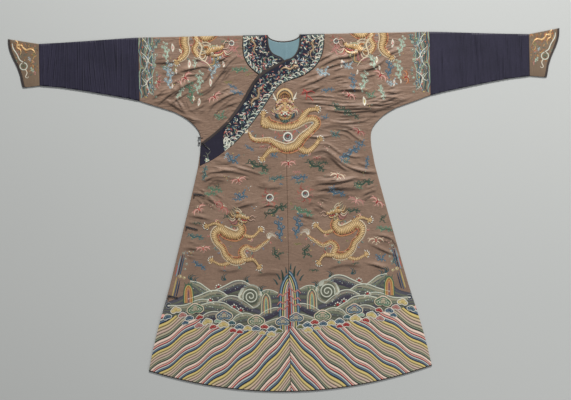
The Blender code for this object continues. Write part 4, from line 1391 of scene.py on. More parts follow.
# %% The head that looks out
def front_head(w):
    """A head that looks straight out, 110 wide and 100 high, in curls of gold and amber."""
    for hand in (-1, 1):
        for i, turn in enumerate(range(-80, 50, 14)):
            heading = turn if hand > 0 else 180 - turn
            flames(w, hand * 20, -8, 4, (heading, heading + 7), 24 - abs(turn + 15) / 8,
                   ("pale_gold", "sage", "gold", "slate", "cream", "rose")[i % 6:], 5)
        w.strip([(hand * x, y) for x, y in ((12, 18), (22, 22), (31, 32), (40, 52))],
                [7, 8, 6, 1], ("cream", "white"), 1.2)
        w.strip([(hand * 27, 28), (hand * 40, 32)], [5, 1], "white", 1.0)
    w.strip([(-20, -22), (-12, -33), (0, -36), (12, -33), (20, -22)], [8, 10, 11, 10, 8],
            ("old_gold", "gold", "pale_gold"), 1.0, kind=SCALES)
    flames(w, 0, -34, 4, range(-165, 0, 16), 13, ("deep_green", "sage", "teal"), 4.5)
    w.level += 0.3
    w.strip([(0, 32), (0, 10), (0, -18)], [26, 54, 58, 46, 34],
            ("brown_gold", "old_gold", "gold", "pale_gold", "gold", "old_gold", "brown_gold"),
            2.0, 6, SCALES)
    w.level += 1.5
    tints = ("gold", "pale_gold", "pink", "brown_gold", "cream", "rose", "pale_gold")
    for i in range(44):
        x = 3 + 25 * ((i * 0.618) % 1.0)
        y = 29 - 46 * (i / 44)
        for hand in (-1, 1):
            w.ring(hand * x, y, 4.6 - 0.06 * x, 2.7, tints[i % 7], 40 * i, hand * 380, end=1.2,
                   rise=0.8)
    for hand in (-1, 1):
        w.strip([(hand * x, y) for x, y in ((4, 10), (10, 15), (19, 14), (27, 9))], [2, 4, 4, 1],
                ("brown_gold", "ink"), 1.0)
        w.disc(hand * 12, 7, 3.2, "cream", 1.0)
        w.disc(hand * 12, 6.5, 2.6, "ink", 1.2)
        w.strip([(hand * 8, -16), (hand * 24, -18), (hand * 36, -8), (hand * 34, 6)],
                [2, 2.6, 2.2, 0.7], ("pink", "cream"), 1.0)
        for i, shade in enumerate(("sage", "teal", "slate")):
            w.strip([(hand * (24 + 4 * i), -12), (hand * (23 + 4 * i), -24),
                     (hand * (18 + 3 * i), -34)], [2, 4, 1], shade, 0.8)
    w.strip([(0, 14), (0, 0), (0, -10)], [4, 8, 15], ("gold", "pale_gold", "gold"), 1.6, 3, GOLD)
    for x, y, shade in ((6, -12, "cream"), (11, -16, "coral"), (0, -15, "white"), (5, -20, "white"),
                        (12, -23, "cream"), (0, -25, "coral")):
        for side in (-x, x) if x else (0,):
            w.disc(side, y, 3.4, shade, 1.3)
    for y in (20, 25):
        w.strip([(-6, y), (0, y + 3), (6, y)], [1.5, 2.5, 1.5], "red", 0.9)
    w.strip([(-25, 30), (-23, 46), (-9, 60), (9, 60), (23, 46), (25, 30)], [3, 8, 9, 9, 8, 3],
            ("cream", "pale_gold", "old_gold"), 1.0)
    w.strip([(-18, 34), (-14, 45), (0, 52), (14, 45), (18, 34)], [4, 7, 8, 7, 4],
            ("gold", "brown_gold"), 0.8)
    for i in range(-3, 4):
        w.strip([(i * 4, 34), (i * 3, 44)], [2.4, 1], ("brown_gold", "amber")[i % 2], 0.6)


# %% [markdown]
# ## Sewing the fronts
# Each front has its own hoop. A motif that crosses the middle seam is sewn on both fronts, and the
# needle drops what falls off the cloth. The tables below say what goes where: the place of its
# middle, its turn in degrees, its size as a share, and its threads.

# %% Where everything goes
# one needlework for each piece of cloth
hoops = {node: Needlework("embroidery_" + node, tops[node])
         for node in ("front_left", "front_lap", "front_right")}


SLANT_X, SLANT_Y, SLANT = -250.0, 330.0, 1.35     # the slanted neckband, through here, this steep


def hoops_at(x, y, reach):
    """The hoops that a motif around this place can touch. x, y and reach in millimetres."""
    found = []
    over_lap = x < 0 and y > SLANT_Y + SLANT * (x - SLANT_X)
    for node, hoop in hoops.items():
        low, high = hoop.ground.points.min(0) / MM - reach, hoop.ground.points.max(0) / MM + reach
        hidden = node == ("front_lap" if over_lap else "front_right")
        if low[0] < x < high[0] and low[1] < y < high[1] and not hidden:
            found.append(hoop)
    return found


def sew_all(places, motif, reach):
    for x, y, turn, size, *threads in places:
        for hoop in hoops_at(x, y, reach * size):
            motif(hoop.at(x, y, turn, size), *threads)


# x, y, turn, size, form, threads
CLOUD_PLACES = table("""
-462 640 10 0.75 tall jade, -498 668 60 0.6 long teal, -452 548 4 1.0 tall pale,
-468 578 80 0.5 branch green, -350 592 0 0.45 tall jade, -272 580 -14 0.95 tall pale,
-335 518 -8 0.85 tall jade, -368 480 6 0.85 tall green, -408 476 60 0.6 long jade,
-428 570 70 0.4 long gold, -175 562 4 0.75 long green, -140 545 20 0.35 long gold,
-222 515 0 0.4 long gold, -205 497 -24 0.5 long blue, -190 473 -8 0.62 long blue,
-255 380 80 0.8 branch green, -200 645 50 0.7 branch pink, -175 615 -30 0.4 long pink,
-225 672 0 0.5 long green, -510 600 80 0.5 long pale, -330 470 10 0.5 knot green,
150 545 70 0.9 branch pale, 247 570 60 0.75 branch pale, 268 505 8 0.7 tall blue,
345 590 20 0.75 tall jade, 460 645 -12 0.75 tall jade, 500 668 -60 0.6 long teal,
412 560 -4 0.8 tall blue, 448 550 8 0.8 tall jade, 420 498 80 0.7 branch pale,
310 508 -10 0.8 tall jade, 335 452 70 0.7 branch green, 378 465 -70 0.7 long jade,
428 585 0 0.35 long gold, 75 465 30 0.35 long red, 168 476 10 0.6 long blue,
215 400 -26 1.0 long dark, 262 378 -30 0.7 long dark, 155 370 80 0.5 branch blue,
192 302 60 0.7 branch teal, 290 262 70 0.7 branch blue, 200 640 -50 0.7 branch pink,
120 600 -60 0.5 long pale, -318 160 84 0.7 long teal, -213 214 50 0.95 branch blue,
-235 228 70 0.35 long pale, -282 95 -10 0.7 long green, -300 78 4 0.6 long green,
-272 108 80 0.4 branch dark, -180 68 80 0.85 branch blue, -196 55 0 0.45 long blue,
-112 184 -18 1.05 long dark, -92 156 0 0.45 long green, -40 134 12 0.7 long teal,
-22 112 0 0.4 knot blue, -45 8 28 1.1 long dark, -30 -62 6 0.95 tall blue,
-362 -88 -8 0.75 long teal, -355 -35 0 0.45 long dark, -48 -160 30 0.85 branch dark,
-350 -200 -30 0.7 long blue, -190 -213 0 0.4 knot green, -145 256 -30 0.5 long blue,
-50 226 60 0.6 branch blue, -280 -140 10 0.35 knot teal, -225 -128 10 0.35 knot gold,
-250 -222 0 0.35 knot blue, 250 225 36 1.05 long blue, 232 196 70 0.6 branch teal,
318 190 86 0.6 long blue, 112 180 -24 0.95 long dark, 140 192 0 0.55 long dark,
50 135 8 0.75 long blue, 52 118 14 0.5 long teal, 40 158 0 0.4 long pink, 300 108 12 0.9 long dark,
280 96 60 0.6 branch green, 195 72 -10 0.8 long blue, 178 92 80 0.5 branch blue,
40 -50 -6 0.95 tall blue, 60 2 -18 0.95 long green, 15 35 -30 0.4 knot gold,
372 -28 -40 0.6 branch dark, 378 -72 -4 0.75 long green, 68 -152 -20 0.9 branch dark,
38 -124 0 0.4 long gold, 198 -198 0 0.4 knot green, 360 -186 60 0.75 branch blue,
255 2 0 0.7 long dark, 232 -115 0 0.35 knot gold, 262 -205 10 0.4 long dark,
70 222 14 0.5 long blue, 415 -195 -40 0.6 branch teal, -215 -15 0 0.8 long dark,
-110 -232 0 0.4 knot dark, 100 -228 0 0.45 long dark
""")
# x, y, turn, size, threads
OVAL_PLACES = table("""
-436 655 4 1.0 pink, -372 590 0 1.0 pink, -424 562 6 0.7 red, -290 515 4 0.95 pink,
-238 585 8 0.8 red, -337 440 -8 0.95 pink, -405 640 30 0.7 gold, -358 455 4 0.7 gold,
-440 505 0 0.6 pink, 225 580 -6 0.9 pink, 425 655 -4 1.0 pink, 362 592 0 0.8 gold,
428 500 -4 0.8 pink, 310 430 6 1.1 gold, 395 640 -20 0.7 gold, 372 560 10 0.6 red,
455 505 0 0.5 pink, 285 545 -10 0.6 pink
""")
# x, y, turn, size, wing, back
BAT_PLACES = table("""
-388 535 46 0.85 pink red, -492 522 80 0.75 rose red, -275 458 34 0.8 pink red,
-188 130 14 0.8 pink coral, -345 20 40 0.8 pink coral, -255 25 -50 0.9 rose coral,
-332 -135 4 0.75 pink coral, 8 192 4 0.8 pink red, 375 530 -40 0.85 pink red,
250 455 -30 0.8 pink red, 475 522 -80 0.75 amber red, 285 310 -30 0.75 rose red,
200 140 -12 0.8 cream coral, 270 40 -20 0.9 rose pink, 352 35 -40 0.85 pink red,
345 -115 0 0.85 cream coral, -275 40 120 0.5 rose red, -90 260 10 0.4 rose red,
120 212 0 0.45 rose red
""")


# %% Clouds and bats
CLOUD_GROWTH = 1.12
sew_all(((x, y, turn, CLOUD_GROWTH * size, *threads) for x, y, turn, size, *threads in CLOUD_PLACES),
        cloud, 50)
sew_all(OVAL_PLACES, oval, 25)
sew_all(BAT_PLACES, bat, 40)
for i, (x, y) in enumerate(table("""
-300 30, -235 140, -130 20, 130 30, 300 150, -395 -150, 395 -125, -380 -150, 405 -155, -420 520,
330 410, -150 100, 160 250, -60 60, 90 -110
""")):
    for hoop in hoops_at(x, y, 10):
        spray(hoop.at(x, y), ((0, 0, 2.5), (9, 6, 2), (-8, 7, 1.8), (3, -9, 1.6)),
              (("pink", "cream"), ("yellow", "mint"), ("sky", "white"))[i % 3])

# %% The dragons at the sides
SIDE_BODY = table("""
-188 -40, -178 -64, -198 -86, -232 -80, -264 -62, -286 -78, -278 -108, -256 -132, -243 -162,
-212 -184, -176 -178, -184 -150, -165 -130, -132 -140, -104 -124, -72 -102
""")
SIDE_WIDTHS = (26, 36, 46, 50, 42, 32, 28, 26, 30, 36, 34, 24, 18, 15, 12, 8)
SIDE_LEGS = paths("""-250 -52 -282 -36 -314 -46, -185 -80 -140 -92 -108 -66,
-218 -186 -262 -198 -298 -182, -168 -182 -136 -182 -116 -208""")
PEARL_PLACE = (-67, 60)
for node, x, y, flip in (("front_lap", 0, 0, 1), ("front_left", 5, 12, -1)):
    hoop = hoops[node]
    for leg in SIDE_LEGS[1:3]:
        dragon_leg(hoop.at(x, y, flip=flip), leg, 17)
    dragon_body(hoop.at(x, y, flip=flip), SIDE_BODY, SIDE_WIDTHS)
    for leg in SIDE_LEGS[::3]:
        dragon_leg(hoop.at(x, y, flip=flip, level=1.2), leg, 17)
    flames(hoop.at(x, y, flip=flip, level=0.2), -76, -104, 0, (8, 22, 36, 52, 70), 36,
           ("cream", "white"), 3.4)
    side_head(hoop.at(x + flip * -178, y - 14, -12 * flip, 1.0, flip, 1.2))
    pearl(hoop.at(x + flip * PEARL_PLACE[0], y + PEARL_PLACE[1]), 15)

# %% The dragon on the chest
CHEST_BODY = table("""
-78 372, -62 350, -20 338, 30 340, 78 362, 112 366, 124 346, 98 318, 66 292, 40 262, 0 252, -38 268,
-66 284, -104 284, -132 292, -146 320
""")
CHEST_WIDTHS = (34, 38, 34, 32, 30, 28, 30, 31, 36, 42, 44, 38, 26, 21, 16, 8)
CHEST_LEGS = paths("""58 356 88 396 122 404, -58 346 -86 348 -86 388,
-20 252 -62 246 -92 214, 36 264 80 238 112 258 132 284""")
for node in ("front_lap", "front_left"):
    hoop = hoops[node]
    for leg in CHEST_LEGS[2:]:
        dragon_leg(hoop.at(), leg, 28)
    dragon_body(hoop.at(), CHEST_BODY, CHEST_WIDTHS)
    for leg in CHEST_LEGS[:2]:
        dragon_leg(hoop.at(level=1.0), leg, 26)
    flames(hoop.at(level=0.2), -148, 318, 0, (60, 82, 104, 126, 148), 30,
           ("cream", "white", "pale_gold"), 6)
    for points in paths("72 482 86 470 82 440, 86 470 104 474 118 466, 84 458 98 450 110 436, "
                        "78 476 66 466"):
        hoop.strip(points, [6, 6, 3], ("red", "coral"), 1.0)
    front_head(hoop.at(-1, 410, 0, 1.2, level=1.2))
    pearl(hoop.at(8, 297), 19)

# %% The dragons on the shoulders
SHOULDER_BODIES = (           # widths, points
    ((36, 38, 34, 26, 16), (386, 712), (392, 676), (384, 642), (398, 616), (416, 604)),
    ((20, 24, 22, 18), (352, 706), (340, 676), (352, 646), (338, 618)),
    ((34, 38, 36, 30), (330, 712), (312, 690), (290, 694), (262, 712)),
)
for node, flip in (("front_left", 1), ("front_right", -1)):
    hoop = hoops[node]
    for widths, *path in SHOULDER_BODIES:
        dragon_body(hoop.at(flip=flip), path, widths)
    dragon_leg(hoop.at(flip=flip), ((392, 630), (408, 618), (420, 600)), 14)
    side_head(hoop.at(flip * 274, 642, -16 * flip, 1.35, -flip, 0.9))
    hoop.at(flip=flip, level=1.0).strip(((350, 690), (322, 655), (330, 615), (300, 590), (285, 568)),
                                        [6, 7, 6, 5, 2], "cream", 1.0)
    flames(hoop, 240, 640, 4, (170, 195, 220, 245), 34, ("pink", "cream", "coral"), 5)
    pearl(hoop.at(flip * 205, 668), 11)

# %% [markdown]
# ## Waves and rocks above the stripes
# Round wave backs lie over each other like roof tiles, so they are sewn from the top down. Rocks
# stand up between them, one on the middle seam, and cloud heads hide the ends of the stripes. Both
# fronts use the same tables; the left one is mirrored and sits a little higher.

# %% Hem places
WAVE_BED = table("""
-500 -350, -430 -330, -360 -282, -300 -305, -215 -280, -150 -292, -90 -322, -40 -322
""")
# depth, threads, x and y of the points of the crest
SWELLS = [(depth, sea, pairs(crest)) for depth, sea, *crest in table("""
34 grey -385 -258 -350 -266 -322 -286 -300 -302,
34 dark -292 -298 -252 -280 -212 -262 -178 -262 -150 -278,
28 grey -130 -330 -100 -302 -70 -300 -42 -312,
36 grey -395 -328 -350 -314 -308 -298 -268 -300 -238 -320,
34 dark -278 -338 -240 -320 -205 -322 -172 -342 -140 -368,
32 grey -470 -352 -410 -352 -362 -334 -325 -332 -292 -350,
34 grey -345 -352 -300 -342 -255 -346 -222 -366 -180 -392,
30 dark -352 -404 -320 -384 -285 -380 -246 -394, 30 grey -232 -424 -206 -396 -168 -388 -128 -402,
30 dark -128 -404 -92 -380 -62 -370 -34 -368, 26 grey -104 -430 -72 -418 -40 -410 -14 -412
""")]
SEA = {"grey": ("dust", "sage", "moss", "slate"), "dark": ("dust", "slate", "plum", "plum")}
# x, y, turn, size, threads, rim, crown
HEADS = table("""
-368 -368 8 0.95 green mint pink, -255 -396 2 0.95 blue sky red, -130 -418 0 0.95 green cream pink,
-26 -424 0 0.85 blue sky red, -444 -372 12 0.6 yellow cream gold, -418 -392 10 0.5 pink pink rose,
-478 -398 20 0.5 blue sky yellow, -392 -404 10 0.5 blue sky red, -352 -402 16 0.45 red coral yellow,
-355 -434 10 0.5 pink mauve pink, -322 -420 14 0.6 yellow cream green,
-300 -440 12 0.45 red coral cream, -258 -432 4 0.62 yellow cream gold,
-226 -426 0 0.45 teal sky mint, -222 -456 0 0.45 red coral pink, -196 -442 0 0.55 blue sky white,
-196 -462 0 0.4 red coral pink, -164 -448 0 0.5 yellow cream olive, -132 -450 0 0.5 blue sky pink,
-98 -444 -4 0.5 red coral cream, -70 -454 0 0.55 blue sky white, -72 -474 0 0.5 yellow cream gold,
-42 -462 0 0.45 gold mint yellow, -108 -468 0 0.4 yellow cream gold, -280 -418 0 0.4 jade mint sky,
-408 -422 10 0.4 blue sky red
""")
ROCK_THREADS = ("blue", "sky", "deep_blue", "yellow", "green", "cream", "rose", "sky", "red")


# %% Sew the waves
def hem_scene(hoop, lift, flip):
    """Everything between the clouds and the stripes on a panel, drawn for the viewer's left."""
    def here(x=0, y=0, turn=0, size=1.0, level=0.0):
        return hoop.at(flip * x, y + lift, turn * flip, size, flip, level)

    bed = np.array(WAVE_BED)
    low = np.interp(-bed[:, 0], *np.transpose(STRIPE_TOP)) + 4
    for share in np.linspace(0.04, 1.0, 9):
        here().strip(np.column_stack([bed[:, 0], bed[:, 1] + (low - bed[:, 1]) * share]), 22,
                     ("slate", "moss")[int(share * 9) % 2], 0.3)
    for inward, top, low, shade in table("""0 -160 -240 sky, 7 -150 -236 deep_blue, 14 -158 -232 blue,
            3 -244 -316 yellow, 11 -250 -322 blue, 19 -256 -318 deep_blue, -4 -196 -232 coral"""):
        here().strip([(side_edge(y) + 7 + inward, y) for y in (top, (top + low) / 2, low)],
                     [2, 5, 5, 4], shade, 0.8)
    for x, y, radius in table("""-408 -150 7, -402 -172 6, -398 -192 7, -404 -212 6,
            -424 -240 8, -408 -246 7"""):
        curl(here(), x, y, radius, 120, "sage" if y > -230 else "yellow", "white")
    for i, (depth, sea, crest) in enumerate(SWELLS):
        swell(here(level=0.05 * i), crest, depth, SEA[sea])
        if i == 3:
            scroll(here(-150, -325, level=0.3), 44)
    rock(here(-393, -345, 0, 0.9, 0.7), 21, 82, ("green", "yellow", "amber", "gold", "rose"), "green")
    rock(here(-90, -392, level=0.7), 21, 82, ("sage", "cream", "green", "rose", "yellow", "mint"),
         "green")
    here(-478, -345, level=0.5)
    for x, y in ((-6, 14), (6, -10)):
        curl(hoop, x, y, 13, 40, "deep_blue", "white")
    for x, y, radius in table("-275 -285 5, -308 -338 6, -190 -378 6, -215 -365 5, -435 -372 5"):
        here(x, y, level=0.6).disc(0, 0, radius, "red", 1.0)
        spray(hoop, ((-8, 5, 3.2), (8, 5, 3.0), (0, 9, 3.4), (-12, -3, 2.4), (12, -3, 2.2)))
    foam = np.random.default_rng(5)
    for depth, sea, crest in SWELLS:
        spray(here(level=0.7), [(x + foam.uniform(-2, 2), y - depth * foam.uniform(0.25, 1.0),
                                 foam.uniform(1.2, 2.4)) for x, y in smooth_line(crest, 9.0)[1:-1]],
              ("pearl", "sky", "mint"))
    rock(here(0, -464, level=0.9), 40, 222, ROCK_THREADS)
    for y in (-322, -352, -376):
        here(0, y, level=1.4).strip([(-46, -8), (-34, 4), (-24, -4), (-12, 8), (0, 14)],
                                    [3, 6, 5, 6, 5], ("red", "pink"), 0.9)
    for x, top, lean in table("-34 -246 -16, -22 -232 -8, -8 -222 -3, -44 -266 -18"):
        here(level=0.4).strip([(x, top - 14), (x + lean * 0.4, top), (x + lean, top + 10)],
                              [7, 5, 1], ("deep_green", "teal"), 0.8)
    for x, y, lean in table("-245 -252 22, -158 -262 14, -380 -250 -14, -105 -300 -10, -360 -262 12"):
        flames(here(x, y, level=0.2), 0, -6, 0, (60 + lean, 90 + lean, 120 + lean), 26,
               ("teal", "deep_green"), 5)
    for x, y, turn, size, *threads in HEADS:
        cloud_head(here(x, y, turn, size, 2.0), *threads)


SIDE_EDGE = table("""
200 -341, 0 -384, -100 -412, -200 -437, -300 -462, -400 -490, -500 -523, -600 -555
""")


def side_edge(y):
    """Where the viewer's left side of the robe runs, in millimetres."""
    heights, edges = np.transpose(SIDE_EDGE)
    return float(np.interp(-y, -heights, edges))


hem_scene(hoops["front_lap"], 0, 1)
hem_scene(hoops["front_left"], RIGHT_RISE, -1)

# %% [markdown]
# ## Sleeve ends, neckband and cuffs
# The brown silk ends in a standing sea: upright wavy lines of blue, green and white with curls.
# The navy band is so dense that its motifs are scattered by chance, from a fixed seed, and only
# its small dragons and its wave border are placed.

# %% Sleeve ends
SEA_LINES = ("mint", "blue", "green", "sky", "deep_blue", "sage", "teal", "moss", "deep_green",
             "blue", "mint")


def sleeve_sea(hoop, flip):
    """A standing sea: wavy threads, white surf that climbs across them, curls and spots."""
    chance = np.random.default_rng(8)
    hoop.at(flip=flip)
    for i, shade in enumerate(SEA_LINES):
        x, low, start = 516 + 5.0 * i, 482 - 2.2 * i, chance.uniform(0, 6)
        hoop.strip([(x + 4 * math.sin(y / 21 + start) + 2 * math.sin(y / 8 + start), y)
                    for y in np.arange(low, 704, 7)], [3, 5.5, 3.5, 5, 3, 5.5, 4, 5, 3], shade)
    hoop.level = 0.3
    for i, (y, tall, sweep) in enumerate(((470, 70, 1), (505, 40, -1), (522, 66, 1), (560, 74, -1),
                                          (590, 50, 1), (622, 60, -1), (640, 62, 1))):
        ends = (514, 560)[::sweep]
        run = ends[1] - ends[0]
        hoop.strip([(ends[0], y), (ends[0] + run * 0.35, y + tall * 0.2),
                    (ends[0] + run * 0.55, y + tall * 0.6), (ends[1], y + tall)],
                   [1.5, 3.6, 3.6, 1.5], ("pearl", "white", "mint")[i % 3], 0.8)
        if i % 2:
            hoop.strip([(ends[0] + run * 0.5, y + tall * 0.5), (ends[0] + run * 0.2, y + tall * 0.8)],
                       [3, 1], "white", 0.9)
    for i in range(17):
        x, y = chance.uniform(498, 520), 466 + 13.5 * i + chance.uniform(-4, 4)
        curl(hoop, x, y, chance.uniform(5, 9), chance.uniform(0, 360),
             ("green", "teal", "sage", "blue", "mint")[i % 5], ("white", "cream")[i % 2])
        curl(hoop, chance.uniform(524, 560), y + 6, chance.uniform(4, 6),
             chance.uniform(0, 360), ("deep_blue", "green", "sky")[i % 3], "white")
        hoop.disc(chance.uniform(516, 562), y, chance.uniform(2.4, 3.8),
                  ("yellow", "pink", "coral", "cream")[i % 4], 1.2)


for node, flip in (("front_left", 1), ("front_right", -1)):
    sleeve_sea(hoops[node], flip)


# %% Neckband
def outline(ground):
    """The longest loop of a ground's rim, in millimetres."""
    ways = {}
    for a, b in np.round(ground.rim[:, :, :2] / MM, 3):
        ways.setdefault(tuple(a), []).append(tuple(b))
        ways.setdefault(tuple(b), []).append(tuple(a))
    loops = []
    while ways:
        place = next(iter(ways))
        loop = [place]
        while ways.get(place):
            following = ways[place].pop()
            ways[following].remove(place)
            if not ways[place]:
                del ways[place]
            place = following
            loop.append(place)
        ways.pop(place, None)
        loops.append(loop)
    return np.array(max(loops, key=len))


BORDER_DEPTH = 7.0           # the wave runs this far in from the edge, mm
BINDING_REACH = 22.0         # and there is none this close to a binding, mm


def border(hoop, binding):
    """A white wave along the edges of a band that have no binding."""
    line = smooth_line(outline(hoop.ground)[::4], 6.0)
    way, inward = directions(line)
    if np.isnan(hoop.ground.height((line + inward * 3) * MM)).mean() > 0.5:
        inward = -inward
    line = line + inward * BORDER_DEPTH
    free = binding.to_rim(line * MM)[1] / MM > BINDING_REACH
    number = np.arange(len(line))
    for run in np.split(number, np.flatnonzero(np.diff(free.astype(int))) + 1):
        if len(run) < 5 or not free[run[0]]:
            continue
        hoop.at().strip(line[run] - inward[run] * 3, 2.6, "sage")
        for k in run[1:-1:3]:
            tall = (9, 19, 13, 16, 11)[k * 7 % 5]
            root = line[k] - inward[k] * 3
            hoop.strip([root - way[k] * 6, root + inward[k] * tall * 0.55 - way[k] * 3,
                        root + inward[k] * tall + way[k] * 5,
                        root + inward[k] * tall * 0.9 + way[k] * 11], [5.5, 5.5, 4, 1],
                       (("white", "pearl"), ("mint", "white"))[k % 2], 0.8)
            hoop.strip([root + way[k] * 3, root + inward[k] * tall * 0.5 + way[k] * 6], [3, 1],
                       "sky", 0.6)


# %% Scattered motifs
RIM_REACH = 4.0              # no motif's middle is closer to the rim than this, mm
BAND_THREADS = ("white", "cream", "mint", "sky", "blue", "pink", "slate", "sage", "green",
                "blue", "rose", "teal", "pearl", "dust", "coral", "moss")


def scatter(hoop, density, seed, threads=BAND_THREADS, above=-9.0):
    """Small strokes, dots and curls all over a band; density is motifs in a square decimetre."""
    chance = np.random.default_rng(seed)
    low, high = hoop.ground.points[:, :2].min(0), hoop.ground.points[:, :2].max(0)
    count = int(np.prod(high - low) * 100 * density)
    spots = low + chance.random((count, 2)) * (high - low)
    inside = ~np.isnan(hoop.ground.height(spots)) & (spots[:, 1] > above)
    for x, y in spots[inside & (hoop.ground.to_rim(spots)[1] / MM > RIM_REACH)] / MM:
        hoop.at(x, y, chance.uniform(0, 360), chance.uniform(0.6, 1.0))
        shade, other = chance.choice(threads, 2)
        kind = chance.random()
        if kind < 0.5:
            hoop.strip([(-8, 0), (0, chance.uniform(-4, 4)), (8, 0)], [1, 5.5, 1], shade, 0.6)
        elif kind < 0.7:
            hoop.ring(0, 0, 4, 2.2, shade, 0, 300, end=1.5, rise=0.6)
        elif kind < 0.85:
            for turn in (-0.6, 0.0, 0.6):
                hoop.strip([(0, 0), (8 * math.cos(turn), 8 * math.sin(turn))], [2, 4, 1], shade, 0.6)
            hoop.disc(0, 0, 2.2, other, 0.9)
        else:
            hoop.disc(0, 0, 3, shade, 0.8)


def small_dragon(hoop, x, y, turn, size=1.0, flip=1, shades=("brown_gold", "tan", "old_gold")):
    """A gold dragon the length of a finger."""
    hoop.at(x, y, turn, size, flip, 0.4)
    for points in paths("""-10 4 -18 12 -26 10, 4 -6 -2 -14 -10 -16,
            18 6 26 14 34 12, 20 -2 28 -10 36 -8"""):
        hoop.strip(points, [4, 3.5, 1.5], shades[0], 0.9, kind=GOLD)
    hoop.strip([(-44, -6), (-30, 4), (-14, 4), (0, -6), (16, -2), (26, 6), (36, 2)],
               [2, 6, 9, 10, 10, 8, 7], shades, 1.4, 3, GOLD)
    hoop.disc(38, 2, 6.5, shades[1], 1.5, GOLD)
    hoop.disc(40, 4, 1.6, "ink", 2.0)
    hoop.strip([(36, -2), (44, -4)], [4, 2], "red", 1.6)


def fine_hoop(node):
    """A hoop for a small piece, with finer stitches."""
    hoops[node] = Needlework("embroidery_" + node, tops[node], 2.5)
    return hoops[node]


# %% Sew the neckbands
for node, binding, seed in (("neckband_over", "silk_lap_binding", 1),
                            ("neckband_under", "silk_neck_binding_under", 2),
                            ("neckband_back", "silk_neck_binding_back", 3)):
    scatter(fine_hoop(node), 190, seed)
    border(hoops[node], Ground(*sides_of(bpy.data.objects[binding])))
for node, *place in (("neckband_over", 18, 566, 10, 0.85), ("neckband_over", 110, 640, 80, 0.8),
                     ("neckband_over", -112, 456, 58), ("neckband_under", -117, 655, 100, 0.8)):
    small_dragon(hoops[node], *place)
end = hoops["neckband_over"].at(level=0.5)
for i in range(5):
    x, y = -240 + 10 * i, 300 - 9 * i
    end.strip([(x - 3, y - 26), (x - 2, y - 12), (x + 5, y), (x + 14, y - 4), (x + 12, y - 12)],
              [6, 7, 5, 4, 1.5], ("white", "pearl"), 0.9)

# %% Tail of the band and cuffs
tail = fine_hoop("band_tail")
tail.strip([(-322, 278), (-312, 266), (-299, 254)], 1.4, "pearl")
tail.at(-310, 212)
for i in range(6):
    way = toward(i * math.pi / 3)
    tail.strip([(0, 0), 6 * way, 10 * way], [2, 6, 2], ("white", "mint")[i % 2], 0.7)
tail.disc(0, 0, 3, "yellow", 1.2)
for points in paths("4 10 2 22 -6 32, 2 22 10 28 14 36, -2 12 -10 18 -16 16"):
    tail.strip(points, [2.5, 2, 0.8], "sage")

for hand, flip in (("left", 1), ("right", -1)):
    hoop = fine_hoop("cuff_front_" + hand)
    scatter(hoop, 90, 6, ("gold", "old_gold", "brown_gold", "moss", "amber", "rose", "sage"), 0.56)
    hoop.at(flip=flip, level=0.4)
    hoop.strip([(1064, 684), (1060, 664), (1046, 642), (1036, 620), (1022, 610)],
               [3, 5, 4, 5, 4], ("white", "pearl"), 0.8)
    hoop.ring(1021, 594, 14, 4.5, "pearl", 100, 330, rise=0.8)
    hoop.ring(1021, 594, 7, 3, "green", 0, 360, end=2, rise=0.8)
    hoop.strip([(1014, 582), (1008, 568), (1014, 552), (1006, 548), (1002, 554)],
               [4, 4, 4, 3, 1], ("white", "cream"), 0.8)
    for x, y, turn, size, way in table("""998 622 80 0.5 pale, 984 612 60 0.4 pink,
            988 580 70 0.6 jade, 978 568 90 0.45 pink, 1046 590 60 0.45 gold,
            982 640 90 0.5 gold, 1052 616 60 0.5 green, 1040 566 40 0.4 gold"""):
        cloud(hoop.at(flip * x, y, turn * flip, size, flip), "knot", way)
    for x, y, turn, size in ((1008, 662, 22, 0.9), (1040, 668, 70, 0.7)):
        small_dragon(hoop, flip * x, y, turn * flip, size, flip, ("amber", "pale_gold", "gold"))

# %% [markdown]
# ## The hidden back
# The back of such a robe repeats its front. The backs lie on the table here, so they get the same
# clouds, dragons and waves from the same tables, with a coarser needle and nearly no relief.

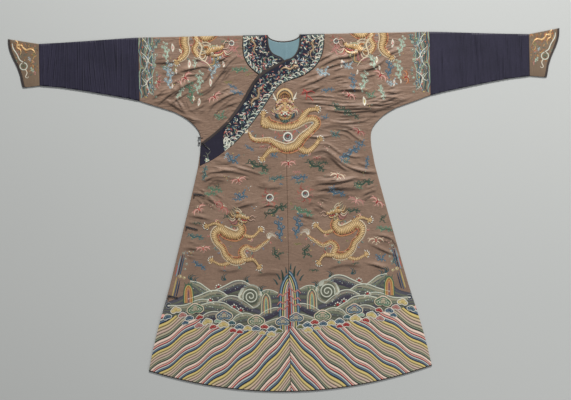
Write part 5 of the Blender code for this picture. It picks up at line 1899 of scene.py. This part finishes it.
# %% The back
for hand, flip, rise in (("left", 1, RIGHT_RISE), ("right", -1, 0)):
    node = "back_" + hand
    hoops[node] = hoop = Needlework("embroidery_" + node, underside(node), 8.0, 0.12)
    for x, y, turn, size, form, way in CLOUD_PLACES:
        if x * flip > 20 and y < 620:
            cloud(hoop.at(x, y, turn, size), form, way)
    dragon_body(hoop.at(flip=-flip), SIDE_BODY, SIDE_WIDTHS)
    for leg in SIDE_LEGS:
        dragon_leg(hoop, leg, 17)
    side_head(hoop.at(flip * 178, -14, 12 * flip, 1.0, -flip, 1.2))
    hem_scene(hoop, rise, -flip)

# %% Sew
worked = {node: hoop.sew() for node, hoop in hoops.items()}


# %% [markdown]
# ## The cut
# The robe lies flat, so the outline of a piece is also the outline it was cut to, and its size can
# be read from the silk. A band is stated by its width, and its length follows from its area. The
# pleated sleeve ends were wider before they were pressed.

# %% Sheets of cloth
BACKS, SLEEVE_PLEATING, BAND_WIDTH = ["back_left", "back_right"], 1.35, 0.085


def cut(node, trims=(), pleated=1.0, band=None):
    """Print the flat size of a piece of silk; the pieces that lie on it are gathered but not used."""
    corners = tops[node].points[tops[node].faces][:, :, :2]
    one, two = corners[:, 1] - corners[:, 0], corners[:, 2] - corners[:, 0]
    area = float(np.abs(one[:, 0] * two[:, 1] - one[:, 1] * two[:, 0]).sum() / 2)
    width, length = (float(v) for v in np.ptp(corners.reshape(-1, 2), axis=0))
    if band:
        width, length = band, area / band
    print(node, "is cut to", round(width * pleated, 3), "x", round(length, 3))
    trims = [bpy.data.objects[name] for name in trims]
    if node in worked:
        trims.append(worked[node])
    bpy.data.objects["silk_" + node]
    width * pleated
    min(area, width * length) * pleated


cut("front_left", ["silk_hem_binding_front_left", "hem_stripes_left"])
cut("front_lap", ["silk_hem_binding_front_right", "hem_stripes_right"])
cut("front_right")
cut("neckband_over", ["silk_lap_binding"], band=BAND_WIDTH)
cut("neckband_under", ["silk_neck_binding_under"], band=BAND_WIDTH)
cut("neckband_back", band=BAND_WIDTH)
cut("band_tail", band=BAND_WIDTH)
cut("lining_back", ["silk_neck_binding_back"])
for hand in ("left", "right"):
    cut("back_" + hand, ["silk_hem_binding_back_" + hand, "hem_stripes_back_" + hand])
    for side, below in (("front_", ["sleeve_back_" + hand]), ("back_", [])):
        cut("sleeve_" + side + hand, pleated=SLEEVE_PLEATING if side == "front_" else 1.0)
        cut("cuff_" + side + hand,
            ["silk_cuff_binding_" + side + hand])
